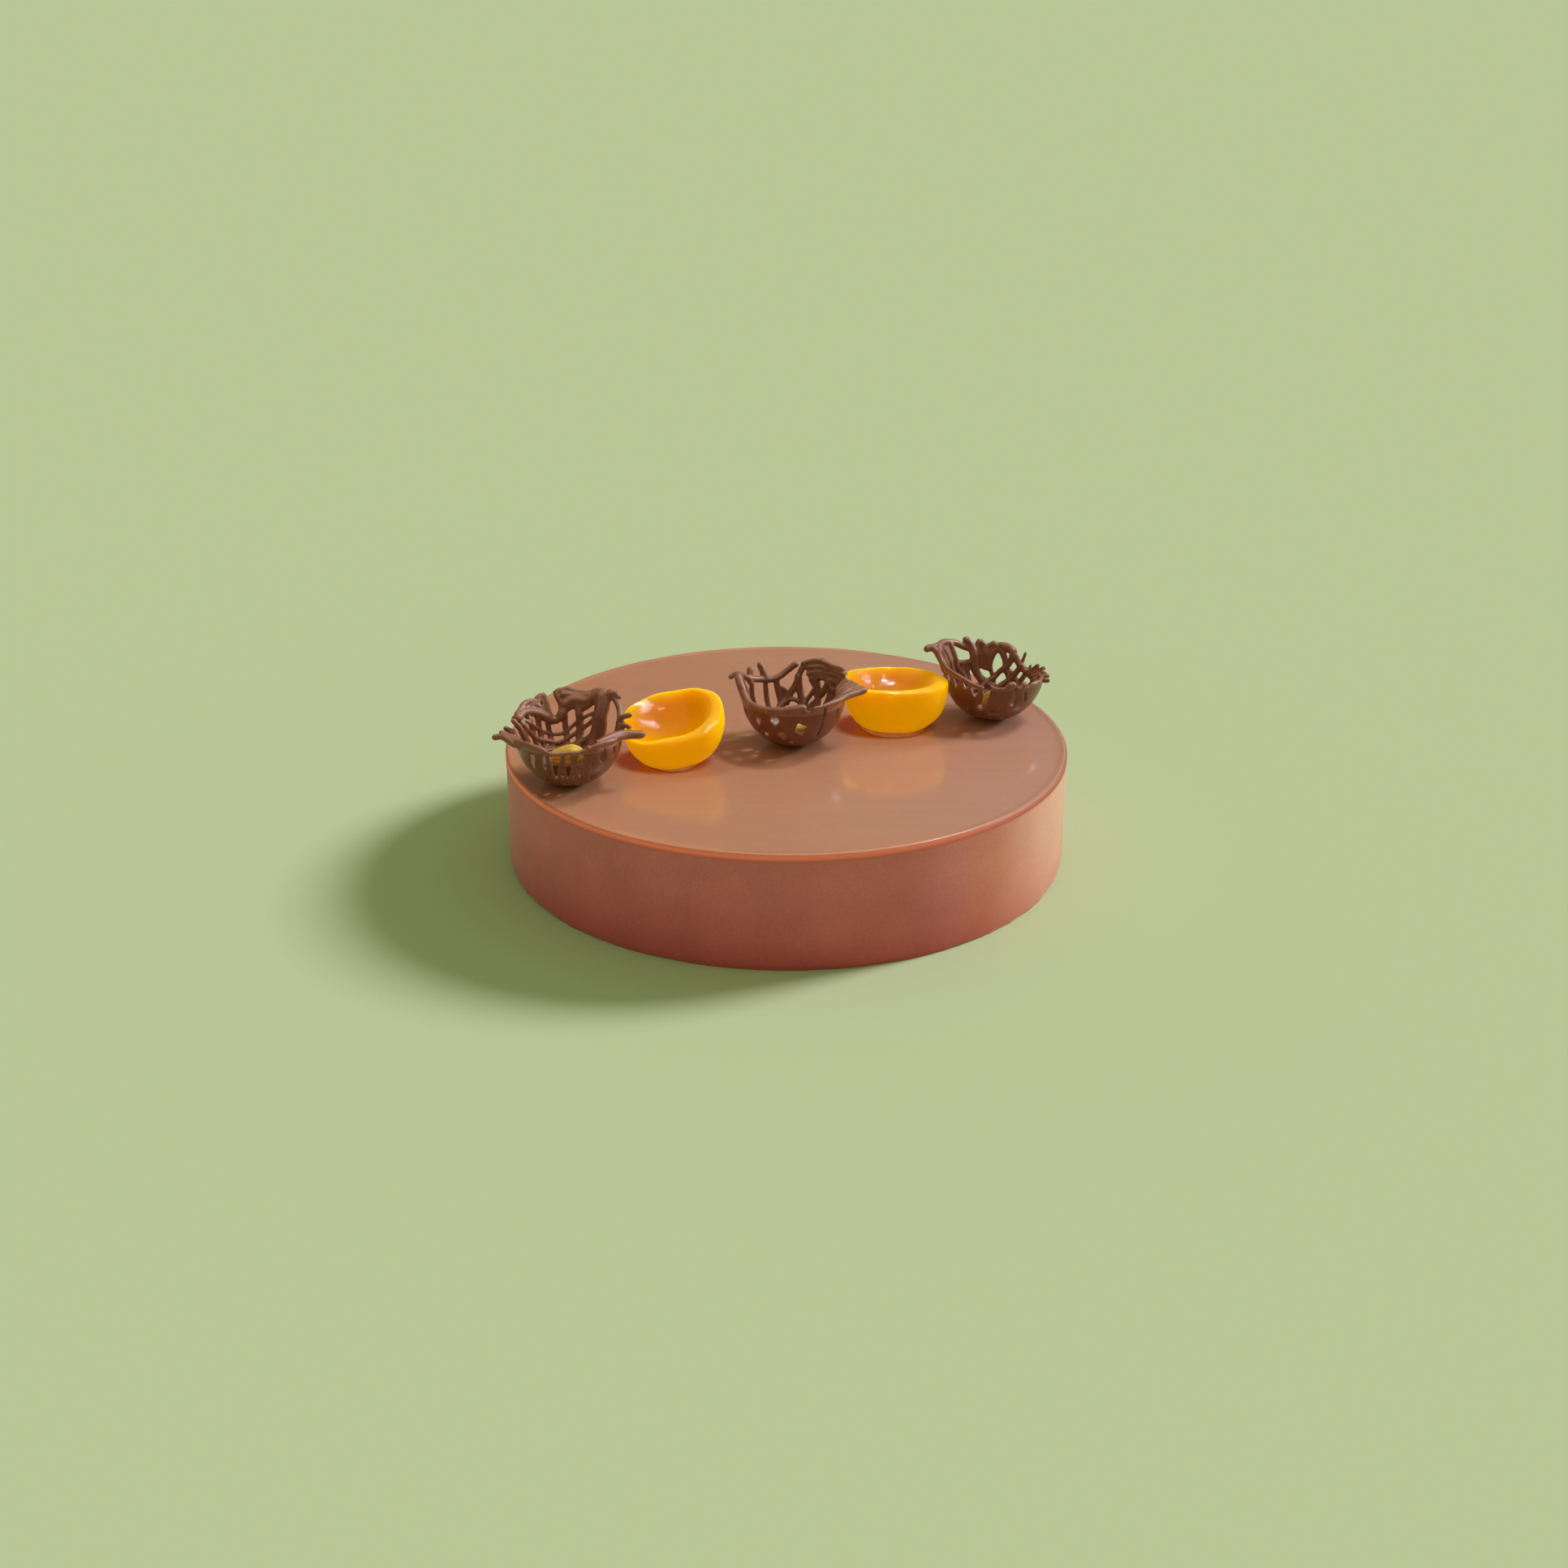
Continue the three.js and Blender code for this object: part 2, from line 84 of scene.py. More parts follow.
# A basket is described on its mould, in degrees: first the bearing round it, where 0 is +X
# and 90 the back, then the climb from the middle of its floor, where 90 is the mould's rim.
# Past 90 the chocolate leans outwards by the basket's flare. In free strands the numbers are
# millimetres from the middle of the mould's rim. A strand starts with its thickness in mm.
LEFT_BASKET = {
    "side": "left",
    "middle": mm(-88.3, -48.0, 0).to_2d(),
    "flare": 30,
    "floor": 56,
    # The rim of the closed wall round the front, from the left side to the right
    "rim": [
        (160, 68), (172, 80), (185, 84), (205, 87), (231, 91), (248, 90), (256, 87),
        (276, 88), (287, 87), (297, 90), (306, 94), (318, 95), (332, 92), (345, 90),
        (360, 92), (372, 97), (382, 97), (387, 90), (390, 80), (396, 68),
    ],
    # Closed stretches of the back wall
    "patches": [
        [
            (161, 98), (157, 104), (150, 106), (145, 109), (138, 111), (132, 110),
            (128, 107), (126, 111), (119, 113), (117, 109), (118, 99), (117, 90),
            (122, 86), (130, 92), (140, 96), (150, 99),
        ],
        [
            (107, 115), (104, 107), (103, 99), (102, 94), (97, 96), (91, 98), (84, 97),
            (78, 97), (74, 101), (70, 109), (66, 114), (68, 118), (74, 114), (81, 114),
            (89, 115), (95, 118), (100, 117),
        ],
    ],
    # Gaps that the drizzle left in the closed wall
    "gaps": [
        [(124, 105), (127, 105), (127, 102), (124, 102)],
        [(228, 82), (234, 83), (234, 77), (229, 64), (223, 60), (224, 67)],
        [(246, 84), (249, 85), (248, 75), (246, 63), (244, 69)],
        [
            (253, 85), (266, 86), (267, 83), (264, 78), (261, 68), (259, 53), (254, 52),
            (256, 68), (256, 78),
        ],
        [(271, 86), (277, 86), (276, 76), (276, 66), (274, 52), (271, 53), (272, 70), (271, 79)],
        [(285, 85), (291, 86), (291, 78), (291, 64), (291, 54), (287, 53), (285, 69), (285, 78)],
        [(300, 76), (302, 78), (303, 66), (302, 58)],
        [(311, 85), (316, 86), (319, 77), (315, 71), (311, 77)],
        [(230, 54), (238, 54), (235, 44)],
        [(264, 60), (268, 60), (266, 46)],
        [(279, 57), (283, 57), (281, 46)],
        [(303, 53), (310, 53), (306, 43)],
        [(240, 40), (249, 40), (244, 32)],
        [(262, 39), (272, 39), (268, 30)],
        [(287, 39), (296, 38), (290, 31)],
        [(330, 84), (334, 84), (332, 66)],
        [(344, 84), (348, 84), (347, 62)],
        [(2, 88), (7, 88), (5, 64)],
        [(15, 90), (20, 88), (18, 66)],
    ],
    "strands": [
        # The thick bead round the back and the hanging bars under it
        (3.7, [
            (161, 100), (149, 102), (139, 99), (130, 95), (122, 88), (114, 84), (107, 86),
            (101, 94), (94, 99), (86, 99), (79, 98), (74, 103), (69, 110), (61, 114),
        ]),
        (3.0, [(64, 112), (54, 116), (47, 114), (35, 106), (23, 96), (15, 92)]),
        (2.5, [(158, 101), (158, 87), (156, 70), (154, 50)]),
        (2.4, [(146, 99), (143, 84), (142, 67), (142, 48)]),
        (2.4, [(133, 94), (132, 82), (132, 67), (132, 48)]),
        (2.5, [(121, 88), (120, 74), (120, 60), (120, 46)]),
        (2.6, [(100, 88), (100, 76), (99, 65), (100, 48)]),
        (3.7, [(84, 98), (83, 86), (82, 74), (82, 60), (82, 48)]),
        (5.2, [(61, 112), (59, 96), (59, 80), (60, 64), (61, 48)]),
        (3.0, [(55, 113), (53, 99), (52, 83), (52, 66), (52, 50)]),
        # The edges of the notch and of the closed stretches
        (2.5, [
            (158, 103), (150, 105), (145, 108), (138, 110), (131, 109), (127, 106),
            (126, 111), (119, 113), (118, 107), (118, 97), (117, 90), (114, 84),
        ]),
        (2.8, [
            (107, 87), (104, 93), (103, 99), (105, 107), (107, 114), (101, 116),
            (95, 117), (89, 114), (81, 113), (74, 113), (68, 117), (60, 117),
        ]),
        (3.2, [(64, 113), (55, 116), (46, 118)]),
        (4.6, [(99, 101), (92, 105), (84, 105), (76, 105), (68, 112), (61, 115)]),
        (3.6, [(100, 111), (91, 110), (82, 109), (73, 111)]),
        (2.6, [(76, 101), (69, 108), (60, 114), (54, 119)]),
        (2.8, [(67, 104), (60, 108), (52, 113), (43, 116)]),
        (2.6, [(136, 100), (134, 106), (128, 103)]),
        (2.4, [(171, 100), (166, 88), (160, 76), (155, 62)]),
        # The front rim
        (2.6, [(198, 86), (212, 88), (224, 91), (236, 91), (246, 89)]),
        (1.5, [(242, 89), (250, 88), (256, 86), (267, 87), (276, 88), (286, 88)]),
        (2.2, [(290, 88), (299, 91), (306, 94), (318, 95), (332, 93)]),
        (2.7, [(297, 80), (297, 91)]),
    ],
    # Arcs piped last, so they cross on the inside of the bars
    "arcs": [
        (1.6, [
            (154, 95), (141, 83), (127, 72), (110, 67), (97, 71), (88, 79), (75, 88),
            (66, 93),
        ]),
        (1.9, [
            (161, 93), (150, 78), (140, 67), (125, 61), (111, 57), (97, 62), (82, 71),
            (71, 80), (64, 88),
        ]),
        (2.6, [(104, 50), (84, 55), (73, 61), (65, 68), (56, 76)]),
        (2.2, [(165, 60), (150, 52), (130, 50), (110, 48)]),
    ],
    "free": [
        (2.6, [(-29.8, -2, -1.6), (-26.8, -2, -1.2), (-23.4, -3, -1.4), (-19.3, -7, -2.2)]),
        (3.0, [(-24, -3, -1.9), (-20.5, -8, -1.8), (-17.6, -12.5, -1.2)]),
        (3.2, [(-26, -2.6, -1.4), (-22.6, -6, -2.2), (-19.4, -10.4, -2.6)]),
        (2.8, [(-23.4, -0.6, -1.8), (-20.4, -5, -2.4), (-18.2, -10.4, -2)]),
        (2.4, [(-26, 4, -0.2), (-24.1, 4, -1.2), (-21.4, 1, -2.2)]),
        (2.2, [(-27.4, 0.4, -0.6), (-24.4, -0.6, -1.4), (-21, -5, -1.8)]),
        (1.7, [(-23.4, 8, 2.9), (-22.4, 8, -0.3), (-20.7, 8, -3.6), (-19, 8, -8)]),
        (3.5, [
            (12.2, -17.6, -0.8), (14.1, -14.4, 0), (17.1, -10.5, 0.4), (20.2, -7, 0.6),
            (23.3, -4.4, 0.3), (26.6, -3, 0.2), (29.4, -2, 0),
        ]),
        (2.9, [(13.6, -13.6, 0.9), (18, -8.4, 1.4), (22, -4.6, 1.3), (26.2, -2.8, 0.8)]),
        (2.7, [(15.4, -9.6, 1), (19.4, -5.6, 1.2), (22.6, -3, 1.1), (25.4, -2.2, 0.7)]),
        (2.4, [(19.6, 7, 1.2), (21.1, 6.4, 4), (24.2, 6, 5.2)]),
        (2.2, [(20.4, 2, 0.6), (22.8, 0.6, 2.8), (24.4, 0, 2.4)]),
        (1.5, [(13.4, -15.6, 0), (12.8, -15.6, 2.3)]),
    ],
}
MIDDLE_BASKET = {
    "side": "middle",
    "middle": mm(2.9, -3.6, 0).to_2d(),
    "flare": 20,
    "floor": 54,
    "rim": [
        (158, 62), (163, 84), (168, 100), (172, 110), (180, 112), (188, 106), (193, 96),
        (205, 87), (224, 87), (242, 89), (258, 91), (271, 93), (283, 94), (286, 89),
        (290, 88), (292, 93), (306, 95), (320, 95), (335, 93), (350, 91), (360, 93),
        (370, 97), (382, 99), (391, 94), (395, 80), (398, 60),
    ],
    "patches": [
        [(112, 85), (106, 81), (100, 78), (96, 75), (93, 66), (96, 57), (109, 57)],
        [
            (80, 103), (70, 110), (58, 112), (46, 110), (36, 108), (34, 95), (46, 92),
            (60, 94), (70, 97),
        ],
    ],
    "gaps": [
        [(200, 82), (205, 78), (203, 71), (198, 70), (196, 76)],
        [(225, 82), (229, 76), (224, 67), (220, 73)],
        [(247, 88), (253, 79), (249, 73), (244, 78)],
        [(250, 60), (257, 62), (262, 56), (256, 50)],
        [(276, 76), (286, 71), (283, 59), (273, 66)],
        [(229, 58), (235, 57), (229, 49), (222, 50)],
        [(262, 48), (273, 46), (270, 39)],
        [(199, 57), (205, 54), (207, 45), (199, 46)],
        [(214, 45), (220, 44), (217, 38)],
        [(306, 94), (309, 92), (307, 77), (307, 65), (307, 54), (303, 53), (304, 66), (304, 77)],
        [(328, 84), (331, 84), (330, 66)],
        [(5, 90), (10, 90), (8, 68)],
        [(20, 88), (25, 86), (22, 66)],
    ],
    "strands": [
        # The rail round the back left with its bars and knobs
        (3.0, [
            (178, 111), (167, 110), (152, 100), (139, 95), (127, 92), (116, 90), (105, 93),
            (96, 99), (88, 105),
        ]),
        (2.9, [(149, 95), (146, 102), (143, 107)]),
        (3.1, [(125, 91), (126, 100), (128, 108)]),
        (3.4, [(173, 109), (170, 99), (168, 86), (166, 66)]),
        (2.5, [(146, 95), (148, 86), (149, 74), (150, 60), (150, 46)]),
        (2.4, [(125, 91), (125, 78), (126, 64), (126, 46)]),
        (2.9, [(111, 91), (109, 75), (107, 61), (106, 46)]),
        (1.4, [(111, 84), (107, 80), (104, 79)]),
        # The tall zigzag round the back right
        (2.9, [
            (109, 58), (99, 62), (93, 72), (88, 80), (84, 91), (80, 101), (75, 107),
            (67, 110), (57, 112),
        ]),
        (3.5, [(84, 91), (82, 77), (78, 65), (74, 56), (72, 46)]),
        (2.9, [(75, 106), (70, 97), (67, 88), (61, 80), (57, 67), (56, 50)]),
        (3.4, [(63, 96), (61, 89), (58, 81), (56, 70), (55, 60), (54, 46)]),
        (3.0, [(52, 74), (46, 87), (43, 98), (35, 105), (26, 108)]),
        (2.6, [(44, 54), (41, 71), (40, 79), (37, 90), (35, 98)]),
        (2.2, [(75, 60), (68, 56), (63, 61), (57, 67)]),
        # The rolled lip round the front left
        (3.5, [
            (178, 111), (184, 105), (189, 97), (197, 91), (207, 88), (222, 88), (240, 89),
            (256, 91), (268, 93), (280, 95),
        ]),
        (1.6, [(282, 93), (286, 89), (290, 89), (293, 94), (306, 95)]),
        (2.0, [(308, 95), (320, 96), (332, 95)]),
    ],
    "arcs": [
        (2.2, [(80, 56), (74, 59), (68, 69), (62, 80), (60, 90), (55, 100), (48, 105), (39, 109)]),
        # Ribs piped side by side across the back right
        (2.3, [(79, 107), (67, 112), (56, 112), (44, 110), (33, 111), (24, 112)]),
        (2.2, [(72, 103), (59, 106), (45, 106), (32, 107), (20, 108)]),
        (2.2, [(72, 96), (61, 99), (48, 100), (34, 102), (22, 103)]),
        (2.1, [(68, 90), (62, 93), (49, 94), (38, 94), (28, 96)]),
        (2.0, [(114, 54), (99, 62), (90, 64), (80, 60)]),
        (2.2, [(68, 98), (58, 100), (48, 97), (40, 90), (33, 84)]),
        (2.2, [(160, 56), (140, 50), (120, 50), (100, 48)]),
    ],
    "free": [
        (3.0, [
            (14, -13.6, -0.4), (16.7, -10.4, 0.2), (20.3, -6.4, 0.5), (24.3, -3, 1.2),
            (27.6, -0.2, 1.2), (30, 1.6, 1.6),
        ]),
        (2.3, [(16.4, -9, -0.4), (21.6, -4.4, 0.7), (26, -1.2, 1.3), (29.6, 0.6, 1.7)]),
        (2.3, [(17, -7, -0.6), (22, -2.2, 1), (26, 0.8, 1.8), (28.6, 2.2, 2.2)]),
        (2.3, [(18, -5, -0.6), (21.8, -1, 1.4), (25, 1.8, 2.3), (27.2, 3.2, 2.9)]),
        (2.3, [(18.4, -2.4, -0.4), (21.4, 0.6, 1.6), (24, 3, 2.8), (25.8, 4.2, 3.4)]),
        (2.3, [(18.6, 0.6, 0.2), (21.2, 3, 2.2), (23.2, 4.8, 3.3), (24.4, 5.6, 3.8)]),
        (2.3, [(18.6, 4, 0.6), (20.6, 5.8, 2.8), (22.2, 7, 4.2)]),
        (2.2, [(18.6, 8, 1.4), (20.4, 9, 4.4), (21.4, 9.4, 5.4)]),
        (2.0, [(18.6, 14, 6.6), (20.5, 13, 6.4), (22.2, 11, 5.8)]),
        (2.2, [(-23.4, 6, 7.4), (-24.9, 5, 7.5), (-26.6, 4.2, 6.4)]),
    ],
}
RIGHT_BASKET = {
    "side": "right",
    "middle": mm(90.6, 28.2, 0).to_2d(),
    "flare": 20,
    "floor": 52,
    "rim": [
        (158, 60), (162, 88), (170, 108), (178, 114), (186, 112), (193, 106), (202, 101),
        (219, 97), (232, 93), (242, 89), (250, 87), (254, 86), (258, 89), (262, 91),
        (270, 90), (278, 89), (283, 91), (287, 91), (289, 85), (292, 84), (294, 88),
        (300, 90), (306, 89), (309, 84), (313, 87), (320, 87), (330, 85), (345, 84),
        (365, 82), (375, 80), (382, 76), (388, 60),
    ],
    "patches": [
        [(130, 83), (113, 84), (112, 73), (121, 74), (130, 73)],
        [
            (176, 112), (164, 117), (150, 112), (140, 106), (139, 92), (138, 78), (130, 66),
            (150, 58), (176, 60),
        ],
        [(103, 104), (107, 84), (98, 76), (91, 76), (88, 88), (84, 100), (92, 99)],
    ],
    "gaps": [
        [(191, 89), (204, 90), (201, 79)],
        [(211, 91), (221, 91), (216, 80)],
        [(227, 90), (237, 89), (231, 84)],
        [(239, 86), (249, 85), (243, 75)],
        [(253, 88), (262, 90), (259, 76), (257, 66), (254, 63), (252, 66), (255, 76)],
        [(244, 62), (255, 66), (253, 58), (247, 55)],
        [(266, 60), (274, 57), (268, 50), (260, 47)],
        [(289, 87), (294, 86), (293, 74), (295, 65), (289, 64), (287, 70), (290, 75)],
        [(304, 80), (307, 80), (310, 68), (307, 67)],
        [(222, 56), (228, 55), (224, 48)],
        [(236, 44), (242, 45), (240, 37)],
        [(262, 40), (269, 40), (265, 32)],
        [(288, 43), (295, 42), (290, 34)],
        [(312, 46), (319, 45), (315, 37)],
        [(338, 78), (342, 78), (340, 60)],
        [(357, 76), (362, 76), (360, 58)],
    ],
    "strands": [
        # The tall left end, its tip and the strands that run down from it
        (3.0, [(174, 114), (164, 116), (153, 115), (143, 112), (132, 108), (123, 102), (115, 98)]),
        (3.0, [(172, 112), (168, 98), (164, 84), (158, 66), (154, 50)]),
        (3.0, [(164, 114), (157, 104), (155, 98), (152, 88), (147, 76), (142, 60), (140, 46)]),
        (3.2, [(142, 109), (140, 97), (139, 86), (137, 78), (130, 69), (126, 56), (124, 46)]),
        (2.7, [(141, 90), (133, 85), (123, 82), (113, 82)]),
        (2.6, [(128, 83), (128, 70), (128, 56), (128, 46)]),
        (2.4, [(120, 82), (120, 70), (120, 56), (120, 46)]),
        # The stout knob that runs down into the floor
        (3.9, [(117, 108), (114, 104), (111, 96), (110, 86), (110, 76), (106, 65), (98, 56), (88, 50)]),
        # The zigzag across the back
        (2.9, [(108, 82), (105, 92), (104, 99), (102, 105), (97, 101), (94, 92), (93, 82), (94, 74)]),
        (2.6, [(100, 76), (99, 89), (94, 97), (89, 101), (83, 102)]),
        (2.4, [(104, 80), (97, 74), (90, 74)]),
        (3.0, [(90, 73), (89, 80), (87, 88), (82, 96), (76, 101), (68, 100), (60, 96)]),
        (2.3, [(89, 76), (86, 66), (83, 57), (80, 46)]),
        (3.0, [(85, 102), (76, 94), (70, 84), (68, 73), (62, 63), (58, 55), (56, 44)]),
        (3.3, [(76, 101), (67, 97), (58, 92), (53, 84), (46, 79), (35, 75), (27, 73), (18, 74)]),
        (2.6, [(63, 71), (55, 65), (48, 60), (42, 52)]),
        (2.5, [(38, 75), (43, 64), (46, 50)]),
        (1.5, [(49, 81), (47, 89), (46, 96)]),
        (1.3, [(38, 76), (36, 80), (35, 84)]),
        # The rim of the closed wall
        (1.9, [(190, 108), (197, 103), (206, 100), (219, 98), (232, 94), (242, 90), (252, 88)]),
        (3.3, [(283, 84), (285, 91), (288, 91)]),
        (2.7, [(303, 84), (303, 89), (305, 89)]),
        (2.0, [(316, 87), (328, 86), (342, 85), (356, 84)]),
    ],
    "arcs": [
        (2.8, [(62, 97), (61, 90), (64, 80), (70, 74), (77, 68), (82, 62), (92, 56), (102, 50)]),
        (2.8, [(46, 81), (53, 70), (58, 62), (68, 54), (78, 46)]),
        (2.0, [(97, 97), (96, 86), (96, 77)]),
        (2.2, [(160, 56), (145, 48), (130, 48), (115, 46)]),
    ],
    "free": [
        (3.1, [
            (-29.2, 2, 9), (-27.6, 3, 9.3), (-25.6, 2, 8.4), (-24, 0, 6.2), (-22.4, -1, 3.4),
            (-21.4, -2, 0.6),
        ]),
        (3.0, [(-28, 2.6, 9.3), (-25.6, 4.6, 9.3), (-23.2, 7, 9.2)]),
        (2.3, [(16.6, 10.4, -4.6), (19, 9.2, -2.6), (20.3, 8.2, -1)]),
        (2.3, [(17.6, 8, -5), (20.5, 6.2, -2.6), (22.4, 5.2, -1.1)]),
        (2.4, [(18.2, 5.4, -5.2), (21, 4, -3.3), (22.6, 3.2, -2.3)]),
        (2.3, [(18.6, 3, -5.6), (22, 1.4, -3.6), (23.6, 0.4, -2.8)]),
        (2.3, [(18.6, 0.6, -6), (21.6, -1, -4.8), (23.6, -2, -4)]),
        (2.2, [(18.4, -3.4, -6), (21.1, -3.8, -4)]),
    ],
}
BASKETS = [LEFT_BASKET, MIDDLE_BASKET, RIGHT_BASKET]
GAP_MARGIN = 1.5  # degrees

# Each stoned half lies on its round back. roll lifts its +X side and pitch its back, in
# degrees. The stone sat off the middle by stone_shift, so one end of the flesh is broad. The
# radius of the pool of syrup is a share of the fruit's width.
APRICOTS = [
    {
        "side": "left",
        "middle": mm(-47.6, -25.6, 0).to_2d(),
        "size": mm(43, 42, 20.5),
        "squareness": 2.5,
        "roll": 12,
        "pitch": 11,
        "pit": (0.88, mm(10.5)),
        "stone_shift": mm(-2.6, 1, 0).to_2d(),
        "pool": 0.265,
        "seed": 3,
    },
    {
        "side": "right",
        "middle": mm(46.9, 16, 0).to_2d(),
        "size": mm(46.8, 43, 23),
        "squareness": 2.2,
        "roll": 0,
        "pitch": -5,
        "pit": (0.88, mm(10)),
        "stone_shift": mm(-3.2, 0, 0).to_2d(),
        "pool": 0.3,
        "seed": 8,
    },
]
APRICOT_SINK = mm(0.9)  # how much of the round underside is pressed flat
# The painted light and shade on the glaze round a half, its shadow lit orange by light
# through the fruit: its reach as a share of the fruit's width, the share of that reach where
# it is full, how much narrower it is from front to back, and how far its middle lies from the
# fruit's, away from the lamps
GLOW_REACH = 0.55
GLOW_FULL = 0.7
GLOW_NARROWING = 0.74
GLOW_SHIFT = mm(-4.5, 1, 0)

# A kernel lies in each basket, given from the middle of the mould's rim. turn is its bearing
# and tip lifts its thin end, in degrees.
KERNELS = [
    {"side": "left", "basket": LEFT_BASKET, "offset": mm(-2.2, 5.4, -12.6), "turn": 186, "tip": -6},
    {"side": "middle", "basket": MIDDLE_BASKET, "offset": mm(1.5, -3, -14.2), "turn": 30, "tip": 0},
    {"side": "right", "basket": RIGHT_BASKET, "offset": mm(-1, -10, -10.6), "turn": -90, "tip": 45},
]


# ---------------------------------------------------------------------------------------
# Settings that a user would change

class TorteSizes(bpy.types.PropertyGroup):
    """The sizes of the torte and of its toppings"""

    radius: FloatProperty(
        name="Radius", description="Radius of the cake ring",
        default=BODY_HIGH.x, min=0.05, unit="LENGTH", subtype="DISTANCE",
    )
    glaze_bottom: FloatProperty(
        name="Glaze bottom", description="Height at which the mousse meets the glaze",
        default=BODY_HIGH.z, unit="LENGTH", subtype="DISTANCE",
    )
    rim_height: FloatProperty(
        name="Rim height", description="Height of the glaze along the rim",
        default=GLAZE_HIGH.z, unit="LENGTH", subtype="DISTANCE",
    )
    foot_tuck: FloatProperty(
        name="Foot tuck", description="How far the side draws in at the foot",
        default=mm(1.2), unit="LENGTH", subtype="DISTANCE",
    )
    edge_radius: FloatProperty(
        name="Edge radius", description="Rounding of the glaze's edge",
        default=mm(1.3), unit="LENGTH", subtype="DISTANCE",
    )
    wall: FloatProperty(
        name="Basket wall", description="Thickness of the closed chocolate walls",
        default=mm(1.6), unit="LENGTH", subtype="DISTANCE",
    )
    detail: FloatProperty(
        name="Basket detail", description="Size of the faces of the chocolate baskets",
        default=mm(0.34), min=mm(0.2), unit="LENGTH", subtype="DISTANCE",
    )
    lip_radius: FloatProperty(
        name="Apricot lip", description="Rounding of the cut edge of an apricot half",
        default=mm(1.9), unit="LENGTH", subtype="DISTANCE",
    )
    kernel: FloatVectorProperty(
        name="Kernel", description="Length, width and height of a pistachio kernel",
        default=tuple(mm(15.6, 9.2, 8.6)), size=3, unit="LENGTH", subtype="XYZ",
    )
    segments: IntProperty(
        name="Segments", description="Faces round the torte", default=320, min=64,
    )


class TorteColours(bpy.types.PropertyGroup):
    """The colours of the torte's materials"""

    mousse: FloatVectorProperty(
        name="Mousse", description="Milk chocolate mousse",
        default=linear("d28575"), size=3, subtype="COLOR", min=0, max=1,
    )
    glaze: FloatVectorProperty(
        name="Glaze", description="Poured caramel and milk chocolate glaze",
        default=linear("c18a6b"), size=3, subtype="COLOR", min=0, max=1,
    )
    glaze_edge: FloatVectorProperty(
        name="Glaze edge", description="The glaze where light comes through its thin edge",
        default=linear("d0705e"), size=3, subtype="COLOR", min=0, max=1,
    )
    chocolate: FloatVectorProperty(
        name="Chocolate", description="Milk chocolate of the baskets",
        default=linear("805641"), size=3, subtype="COLOR", min=0, max=1,
    )
    apricot: FloatVectorProperty(
        name="Apricot", description="Flesh of canned apricots",
        default=linear("c68c04"), size=3, subtype="COLOR", min=0, max=1,
    )
    syrup: FloatVectorProperty(
        name="Syrup", description="Apricot syrup that ran onto the glaze",
        default=linear("a85f30"), size=3, subtype="COLOR", min=0, max=1,
    )
    pistachio: FloatVectorProperty(
        name="Pistachio", description="Shelled pistachio kernel",
        default=linear("dfb23a"), size=3, subtype="COLOR", min=0, max=1,
    )
    floor: FloatVectorProperty(
        name="Floor", description="The pale floor that the torte stands on",
        default=linear("b3d29a"), size=3, subtype="COLOR", min=0, max=1,
    )


def sizes():
    return bpy.context.scene.torte_sizes


def colours():
    return bpy.context.scene.torte_colours


# ---------------------------------------------------------------------------------------
# Small tools for modelling

def clear_selection():
    """Leaves edit mode and selects nothing."""
    if bpy.context.mode != "OBJECT":
        bpy.ops.object.mode_set(mode="OBJECT")
    bpy.ops.object.select_all(action="DESELECT")


def select_only(*pieces):
    """Selects just these pieces and makes the first one active."""
    clear_selection()
    for piece in pieces:
        piece.select_set(True)
    bpy.context.view_layer.objects.active = pieces[0]


def name_piece(name):
    """Names the primitive that was just added."""
    piece = bpy.context.active_object
    piece.name = name
    piece.data.name = name
    return piece


def edit(piece):
    """Opens a piece in edit mode."""
    select_only(piece)
    bpy.ops.object.mode_set(mode="EDIT")


def pick(piece, mode, test):
    """In edit mode, selects just the edges or the faces whose middle passes the test."""
    bpy.ops.mesh.select_mode(type=mode)
    bpy.ops.mesh.select_all(action="DESELECT")
    mesh = bmesh.from_edit_mesh(piece.data)
    if mode == "EDGE":
        for edge in mesh.edges:
            if test((edge.verts[0].co + edge.verts[1].co) / 2, edge):
                edge.select_set(True)
    if mode == "FACE":
        for face in mesh.faces:
            if test(face.calc_center_median(), face.normal):
                face.select_set(True)
    mesh.select_flush_mode()
    bmesh.update_edit_mesh(piece.data)


def add_modifier(piece, kind, **settings):
    """Adds a modifier with these settings and applies it."""
    select_only(piece)
    modifier = piece.modifiers.new(kind.title(), kind)
    for name, value in settings.items():
        setattr(modifier, name, value)
    bpy.ops.object.modifier_apply(modifier=modifier.name)


def shape_vertices(piece, move):
    """Moves each vertex to where the function puts it, as a sculpting brush would."""
    for vertex in piece.data.vertices:
        vertex.co = move(vertex.co.copy())
    piece.data.update()


def soft_uneven(place, size, seed):
    """A smooth random value from about -1 to 1 with bumps of that size."""
    return noise.noise(place / size + Vector((17.0 * seed, 5.0 * seed, -9.0 * seed)))


# Lamps light only what is in their group, and the glint lamps only the apricots and their
# syrup. The floor's lamp casts only the shadow of the torte's body, and the others cast none
# of the apricots, which let light through: their coloured shadow and glow are painted into
# the glaze's colour.
TORTE_LAMPS = "lit_by_torte_lamps"
GLINT_LAMPS = "lit_by_glint_lamps"
FLOOR_LAMPS = "lit_by_floor_lamp"
FLOOR_SHADOW = "shadow_on_floor"
TORTE_SHADOW = "shadow_on_torte"


def light_group(name):
    """The collection of what a set of lamps lights, or of what shades it."""
    return bpy.data.collections.get(name) or bpy.data.collections.new(name)


